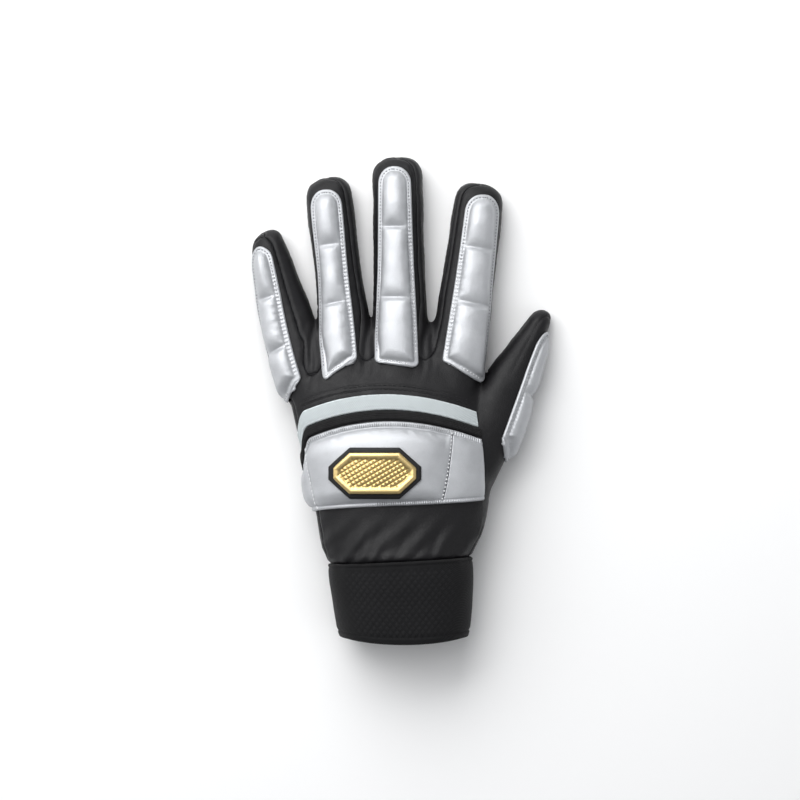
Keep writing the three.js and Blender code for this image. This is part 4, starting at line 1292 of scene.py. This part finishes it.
def guard_edges(v):
    return [GUARD["start"] + 0 * v, GUARD["fold"] + 0 * v, GUARD["tab"] + TAB_SLANT * v, GUARD["end"] + 0 * v]


def guard_around(field, v):
    edges = np.stack(guard_edges(v))
    first = np.clip(field.astype(int), 0, 2)
    low = np.take_along_axis(edges, first[None], 0)[0]
    return mix(low, np.take_along_axis(edges, first[None] + 1, 0)[0], field - first)


def guard_share(around, v):
    return mix(GUARD["low"] + GUARD_BOTTOM_SLOPE * around, bowed_share(GUARD["high"], around), v)


def guard_sheet(fields, rows, seams=()):
    field, v = np.meshgrid(fields, np.linspace(0, 1, rows))
    around = guard_around(field, v)
    return Sheet(laid("palm", guard_share(around, v), around), seams), field, v


def flange_pleats(run, gap, width, pitch=1.2):
    """Fine pleats across a flange at a distance from its edge."""
    return 0.24 * np.cos(2 * np.pi * run / pitch) * smoothstep(0.2, 0.7, gap) * (1 - smoothstep(width - 0.9, width, gap))


ROWS = 100
fields = np.concatenate([np.linspace(0, 1, 34)[:-1], np.linspace(1, 1.999, 230)])
guard, field, v = guard_sheet(fields, ROWS, [[(row, 33) for row in range(ROWS)]])
upward, across = runs(guard.base, 0), runs(guard.base, 1)
from_low, from_high, from_tab = upward, upward[-1:] - upward, across[:, -1:] - across
side = field < 1
body = puff(from_low - GUARD_LOW_FLANGE, 7) * puff(from_high - GUARD_HIGH_FLANGE, 8) * puff(from_tab, 15)
body = body * puff(across - 0.8, 5) * sewn(guard.seam, 1.5, 0.85)
edge_round = rounded(np.minimum(np.minimum(from_low, from_high), across), 0.9) * rounded(from_tab, 0.25, 0.8)
free = (from_low > GUARD_LOW_FLANGE) & (from_high > GUARD_HIGH_FLANGE) & (guard.seam > 0.4)
free &= (from_tab > 0.8) & (across > 0.8)
height = GUARD_FLANGE * edge_round + swollen(guard, np.where(side, SIDE_RISE, GUARD_RISE) * body, free, evened=30)
height = height - 0.4 * bump(from_low, GUARD_LOW_FLANGE, 0.4) - 0.4 * bump(from_high, GUARD_HIGH_FLANGE, 0.45)
height = height + 0.55 * bump(guard.seam, 0, 0.4)
height = height - 0.3 * bump(from_tab, 0.5, 0.5) * (0.5 - 0.5 * np.cos(2 * np.pi * upward / 2.0))
height = height + flange_pleats(across, from_high, GUARD_HIGH_FLANGE) * smoothstep(1.05, 1.3, field)
height = height + flange_pleats(across, from_low, GUARD_LOW_FLANGE) * smoothstep(1.45, 1.7, field)
wrinkles = 0.16 * ripple(across.ravel(), 6, 61).reshape(height.shape) * bump(from_high, GUARD_HIGH_FLANGE + 1.6, 1.6)
soft = 0.3 * ripple(guard.base.reshape(-1, 3), 24, 63).reshape(height.shape) * smoothstep(4, 9, from_high)
dent = 0.9 * bump(np.hypot((field - 1.93) * 40, (v - 0.85) * 34), 0, 5.5)
height = height + (wrinkles + soft) * ~side * smoothstep(2, 9, from_tab) - dent * smoothstep(0, 4, from_tab)
piece = mesh_object("guard_cushion", guard.solid(height), layer_faces(guard.rows, guard.columns))
mark(piece, "wear_and_painted_light", np.tile(np.clip(bump(guard.edge, 0, 0.7) + 0.4 * bump(guard.seam, 0, 0.6), 0, 1).ravel(), 2))
dress(piece, silver_leather, "pad_silver", "knuckle_guard", fill=0.6)
# a grey rod under each white stitch of the tab seam: painted shade of the needle holes
hole_shade_seams.sew(guard.top[4:-4, -3], guard.normal[4:-4, -3], pitch=2.0, length=1.9, radius=0.22)
silver_seams.sew(guard.top[4:-4, -3], guard.normal[4:-4, -3], pitch=2.0, length=1.0, radius=0.48)
silver_seams.sew(guard.top[3:-3, 33], guard.normal[3:-3, 33], pitch=2.0, length=1.8, radius=0.3)
# grey stitches across the guard's flanges: their grey is painted shade of the needle holes
for row, first in ((-5, 44), (3, 170)):
    line, normals = guard.top[row, first:-3], guard.normal[row, first:-3]
    hole_shade_seams.sew(line, normals, pitch=1.3, length=1.8, radius=0.22, crossing=True)

tab, field, v = guard_sheet(np.linspace(2.002, 3, 76), ROWS)
upward, across = runs(tab.base, 0), runs(tab.base, 1)
from_low, from_high, from_end = upward, upward[-1:] - upward, across[:, -1:] - across
body = puff(from_low - GUARD_LOW_FLANGE, 6) * puff(from_high - GUARD_HIGH_FLANGE, 6) * puff(from_end - 1, 5)
body = body * mix(0.15, 1, smoothstep(0, 9, across))
edge_round = rounded(np.minimum(np.minimum(from_low, from_high), from_end), 0.9) * rounded(across, 0.25, 0.8)
height = GUARD_FLANGE * edge_round + TAB_RISE * body
height = height - 0.25 * bump(from_low, GUARD_LOW_FLANGE, 0.4) - 0.2 * bump(from_high, GUARD_HIGH_FLANGE, 0.45)
height = height + 0.6 * flange_pleats(across, from_high, GUARD_HIGH_FLANGE)
height = height + flange_pleats(across, from_low, GUARD_LOW_FLANGE)
height = height + 0.12 * ripple(tab.base.reshape(-1, 3), 10, 66).reshape(height.shape)
piece = mesh_object("guard_tab_cushion", tab.solid(height), layer_faces(tab.rows, tab.columns))
mark(piece, "wear_and_painted_light", np.tile(bump(tab.edge, 0, 0.7).ravel(), 2))
dress(piece, silver_leather, "pad_silver", "guard_tab", fill=0.4)

# Topstitches above the knuckle band
for past in TOPSTITCH_ROWS:
    around = np.arange(-66, 58, 0.8)
    share = bowed_share(BANDS["knuckle_band"]["high"], around) + past / PALM_LENGTH
    line = laid("palm", share, around)
    middle, _, height, _ = palm_at(share)
    out = unit(line - np.stack([middle, line[:, 1], height * 0.3], axis=1))
    black_seams.sew(line + out * -0.12, out, pitch=2.4, length=1.9, radius=0.24)

dress(silver_seams.mesh("silver_stitching"), white_thread, "pad_silver")
# grey stitches, their colour painted shade of the needle holes
dress(hole_shade_seams.mesh("flange_stitching_painted_shade"), hole_shade_thread, "pad_silver")
dress(black_seams.mesh("knuckle_topstitching"), black_thread, "leather_black")


# Badge


def badge_half_height(x, border):
    flat = BADGE["width"] / 2 - BADGE["point"]
    past = np.maximum(0, np.abs(x) - flat) / (BADGE["point"] + border)
    return (BADGE["height"] / 2 + border) * (1 - 0.75 * past)


def badge_grid(border, columns, rows):
    """Plan places of the badge, as distances from its middle."""
    x = np.linspace(-1, 1, columns) * (BADGE["width"] / 2 + border)
    v = np.linspace(-1, 1, rows)
    x_grid, v_grid = np.meshgrid(x, v)
    return x_grid, v_grid * badge_half_height(x_grid, border)


guard_top = BVHTree.FromPolygons(
    guard.top.reshape(-1, 3).tolist(), layer_faces(guard.rows, guard.columns)[: (guard.rows - 1) * (guard.columns - 1)].tolist()
)


def on_guard(x, y):
    """Points of the guard's upper side under the badge, evened out."""
    centre = np.array([BADGE["across"] * PALM_WIDTH, BADGE["up"] * PALM_LENGTH])
    points = np.stack([centre[0] + x, centre[1] + y, 0 * x + 80], axis=-1).reshape(-1, 3)
    for i, point in enumerate(points):
        hit = guard_top.ray_cast(Vector(point), Vector((0, 0, -1)))[0]
        if hit is not None:
            points[i] = hit
    smooth = points.copy()
    rows, columns = x.shape
    smooth[:, 2] = relaxed(points, grid_edges(rows, columns), 60)[:, 2]
    return smooth.reshape(*x.shape, 3)


x_grid, y_grid = badge_grid(BADGE_BORDER, 85, 45)
backing = Sheet(on_guard(x_grid, y_grid))
height = BACKING_THICKNESS * rounded(backing.edge, 0.9, 0.2) + 0.25
piece = mesh_object("badge_rim", backing.solid(height), layer_faces(backing.rows, backing.columns))
mark(piece, "wear_and_painted_light", np.tile(bump(backing.edge, 0.4, 0.5).ravel(), 2))
dress(piece, badge_rubber, "badge_black", "badge_backing")

x_grid, y_grid = badge_grid(0, 145, 73)
plate = Sheet(on_guard(x_grid, y_grid) + np.array([0, 0, BACKING_THICKNESS + SEAM_GAP]))
height = PLATE_THICKNESS * rounded(plate.edge, 0.8, 0.25)
floor_of_plate = smoothstep(2.4, 3.7, plate.edge)
turned = np.stack([x_grid * 0.86 + y_grid * 0.5, y_grid * 0.86 - x_grid * 0.5], axis=-1)
hatch = np.minimum(np.abs(np.sin(np.pi * turned[..., 0] / HATCH_PITCH)), np.abs(np.sin(np.pi * turned[..., 1] / HATCH_PITCH)))
height = height - floor_of_plate * (0.75 - 0.34 * hatch)
height = height + 0.25 * bump(plate.edge, 1.5, 0.9)
piece = mesh_object("badge_shield", plate.solid(height), layer_faces(plate.rows, plate.columns))
mark(piece, "wear_and_painted_light", np.tile((floor_of_plate * (1 - hatch)).ravel(), 2))
dress(piece, badge_gold, "badge_gold", "badge_plate")


# Cuff


def cuff_grid(share, turn, offset):
    stations, widths, heights = zip(*CUFF_SECTIONS)
    share_grid, turn_grid = np.meshgrid(share, turn, indexing="ij")
    width, height = CUFF_WIDTH * along(stations, widths, share_grid), CUFF_THICKNESS * along(stations, heights, share_grid)
    x, z = round_section(turn_grid, width, height, 0, PALM_PRESS, offset)
    side = x / (CUFF_WIDTH / 2)
    y = mix(CUFF_TOP_RISE / 2 * side, HEM_TURN - CUFF_LENGTH + HEM_BOW * side**2, share_grid)
    drift = CUFF_SHIFT + HEM_SHIFT * smoothstep(-0.3, 1, share_grid)
    return np.stack([drift + x, y, z], axis=-1)


def cuff_mesh():
    """The knitted cuff: outer wall with lozenge relief, rounded edges, and a plain inner wall."""
    sides, rows = 360, 112
    even = np.linspace(0, 2 * np.pi, 2001)
    ring = cuff_grid(np.array([0.3]), even, 0.0)[0]
    run = np.concatenate([[0], np.cumsum(np.linalg.norm(np.diff(ring, axis=0), axis=1))])
    turn = np.interp(np.linspace(0, run[-1], sides + 1)[:-1], run, even)
    turn_run = np.linspace(0, run[-1], sides + 1)[:-1]
    share = np.linspace(0, 1, rows)
    outer = cuff_grid(share, turn, 0.0)
    slip = np.roll(outer, -1, axis=1) - np.roll(outer, 1, axis=1)
    normal = unit(np.cross(slip, np.gradient(outer, axis=0)))
    count = round(run[-1] / KNIT_PITCH[0])
    a = np.pi * count * turn_run / run[-1]
    b = np.pi * share * CUFF_LENGTH / KNIT_PITCH[1]
    lozenge = np.minimum(np.abs(np.sin(a[None] + b[:, None])), np.abs(np.sin(a[None] - b[:, None]))) ** 0.6
    middle = mix(0.12, 1, smoothstep(0.75, 0.97, np.abs(normal[..., 2])))
    body = smoothstep(0.06, 0.13, share)[:, None] * (1 - smoothstep(0.9, 0.96, share))[:, None]
    relief_height = KNIT_RELIEF * (lozenge - 1) * middle * body
    roll = 0.25 * bump(share * CUFF_LENGTH, 0.9, 0.6) - 0.22 * bump(share * CUFF_LENGTH, 2.1, 0.6)
    hem = 0.35 * smoothstep(0.915, 0.93, share) - 0.2 * bump(share * CUFF_LENGTH, 38.2, 0.5)
    pleats = 0.35 * ripple(np.stack([np.cos(turn) * 20, np.sin(turn) * 12], axis=1), 5, 31)[None] * np.exp(-share * CUFF_LENGTH / 5)[:, None]
    soft = 0.35 * ripple(outer.reshape(-1, 3), 24, 33).reshape(outer.shape[:2])
    lift = relief_height + (roll + hem)[:, None] + pleats + soft
    close = np.sqrt(np.clip(1 - (1 - np.clip(share * CUFF_LENGTH / 1.1, 0, 1)) ** 2, 0, 1))
    far = np.sqrt(np.clip(1 - (1 - np.clip((1 - share) * CUFF_LENGTH / 1.1, 0, 1)) ** 2, 0, 1))
    lift = lift - 1.1 * (2 - close - far)[:, None]
    outer = outer + normal * lift[..., None]
    inner = cuff_grid(share[::3], turn, -CUFF_WALL)
    rings = np.concatenate([outer, inner[::-1], outer[:1]])
    index = np.arange((len(rings) - 1) * sides).reshape(-1, sides)
    index = np.concatenate([index, index[:1]])
    a, b = index[:-1], np.roll(index, -1, axis=1)[:-1]
    c, d = np.roll(index, -1, axis=1)[1:], index[1:]
    quads = np.stack([d, c, b, a], axis=-1).reshape(-1, 4)
    # the raised lozenges are lighter where the cuff faces up: painted light, leaving the hollows between them darker
    wear_and_painted_light = np.concatenate([(lozenge * middle * body * 0.6).ravel(), np.zeros(inner.shape[0] * sides)])
    return rings[:-1].reshape(-1, 3), quads, wear_and_painted_light


points, quads, wear_and_painted_light = cuff_mesh()
piece = mesh_object("knitted_cuff", points, quads)
mark(piece, "wear_and_painted_light", wear_and_painted_light)
dress(piece, black_knit, "cuff_knit", "cuff")


# Floor, camera and lights


def floor_material():
    made, tree, shader = material("pale_floor", specular=0.1)
    cloud = node(tree, "ShaderNodeTexNoise", [("Scale", 3.0), ("Detail", 3.0)])
    tree.links.new(blend_node(tree, cloud.outputs[0], (0.93, 0.93, 0.93, 1), (0.95, 0.95, 0.95, 1)), shader.inputs["Base Color"])
    shader.inputs["Roughness"].default_value = 0.9
    return made


floor = bpy.data.objects.new("floor", bpy.data.meshes.new("floor"))
floor.data.from_pydata([(-3, -3, 0), (3, -3, 0), (3, 3, 0), (-3, 3, 0)], [], [(0, 1, 2, 3)])
floor.data.materials.append(floor_material())
bpy.context.scene.collection.objects.link(floor)
floor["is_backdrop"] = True

VIEW_HEIGHT = 1.5  # of the camera over the floor
VIEW_SPAN = 0.3934  # side of the square that it sees at the glove's middle height
MIDDLE_HEIGHT = 0.014
camera = bpy.data.cameras.new("camera")
camera.sensor_width = 36
camera.lens = 36 * (VIEW_HEIGHT - MIDDLE_HEIGHT) / VIEW_SPAN
camera_object = bpy.data.objects.new("camera", camera)
camera_object.location = (0, 0, VIEW_HEIGHT)
bpy.context.scene.collection.objects.link(camera_object)
bpy.context.scene.camera = camera_object


def soft_box(name, place, aim, size, power, tint=(1, 1, 1)):
    light = bpy.data.lights.new(name, "AREA")
    light.shape = "RECTANGLE"
    light.size, light.size_y = size
    light.energy = power
    light.color = tint
    obj = bpy.data.objects.new(name, light)
    obj.location = place
    obj.rotation_euler = (Vector(aim) - Vector(place)).to_track_quat("-Z", "Y").to_euler()
    bpy.context.scene.collection.objects.link(obj)


soft_box("key", (-0.26, 0.58, 0.56), (0, 0.06, 0), (0.95, 0.7), 8)
soft_box("overhead", (-0.4, 0.5, 1.5), (0, 0, 0), (1.1, 1.1), 8)
soft_box("left", (-0.95, 0.15, 0.45), (0, 0.03, 0), (0.8, 0.5), 2)
soft_box("fill", (1.0, -0.3, 0.8), (0, 0, 0), (1.0, 0.8), 1.8)

world = bpy.data.worlds.new("studio")
world.use_nodes = True
world.node_tree.nodes["Background"].inputs["Color"].default_value = (0.95, 0.97, 1, 1)
world.node_tree.nodes["Background"].inputs["Strength"].default_value = 0.32
bpy.context.scene.world = world
bpy.context.scene.view_settings.view_transform = "Standard"

low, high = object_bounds()
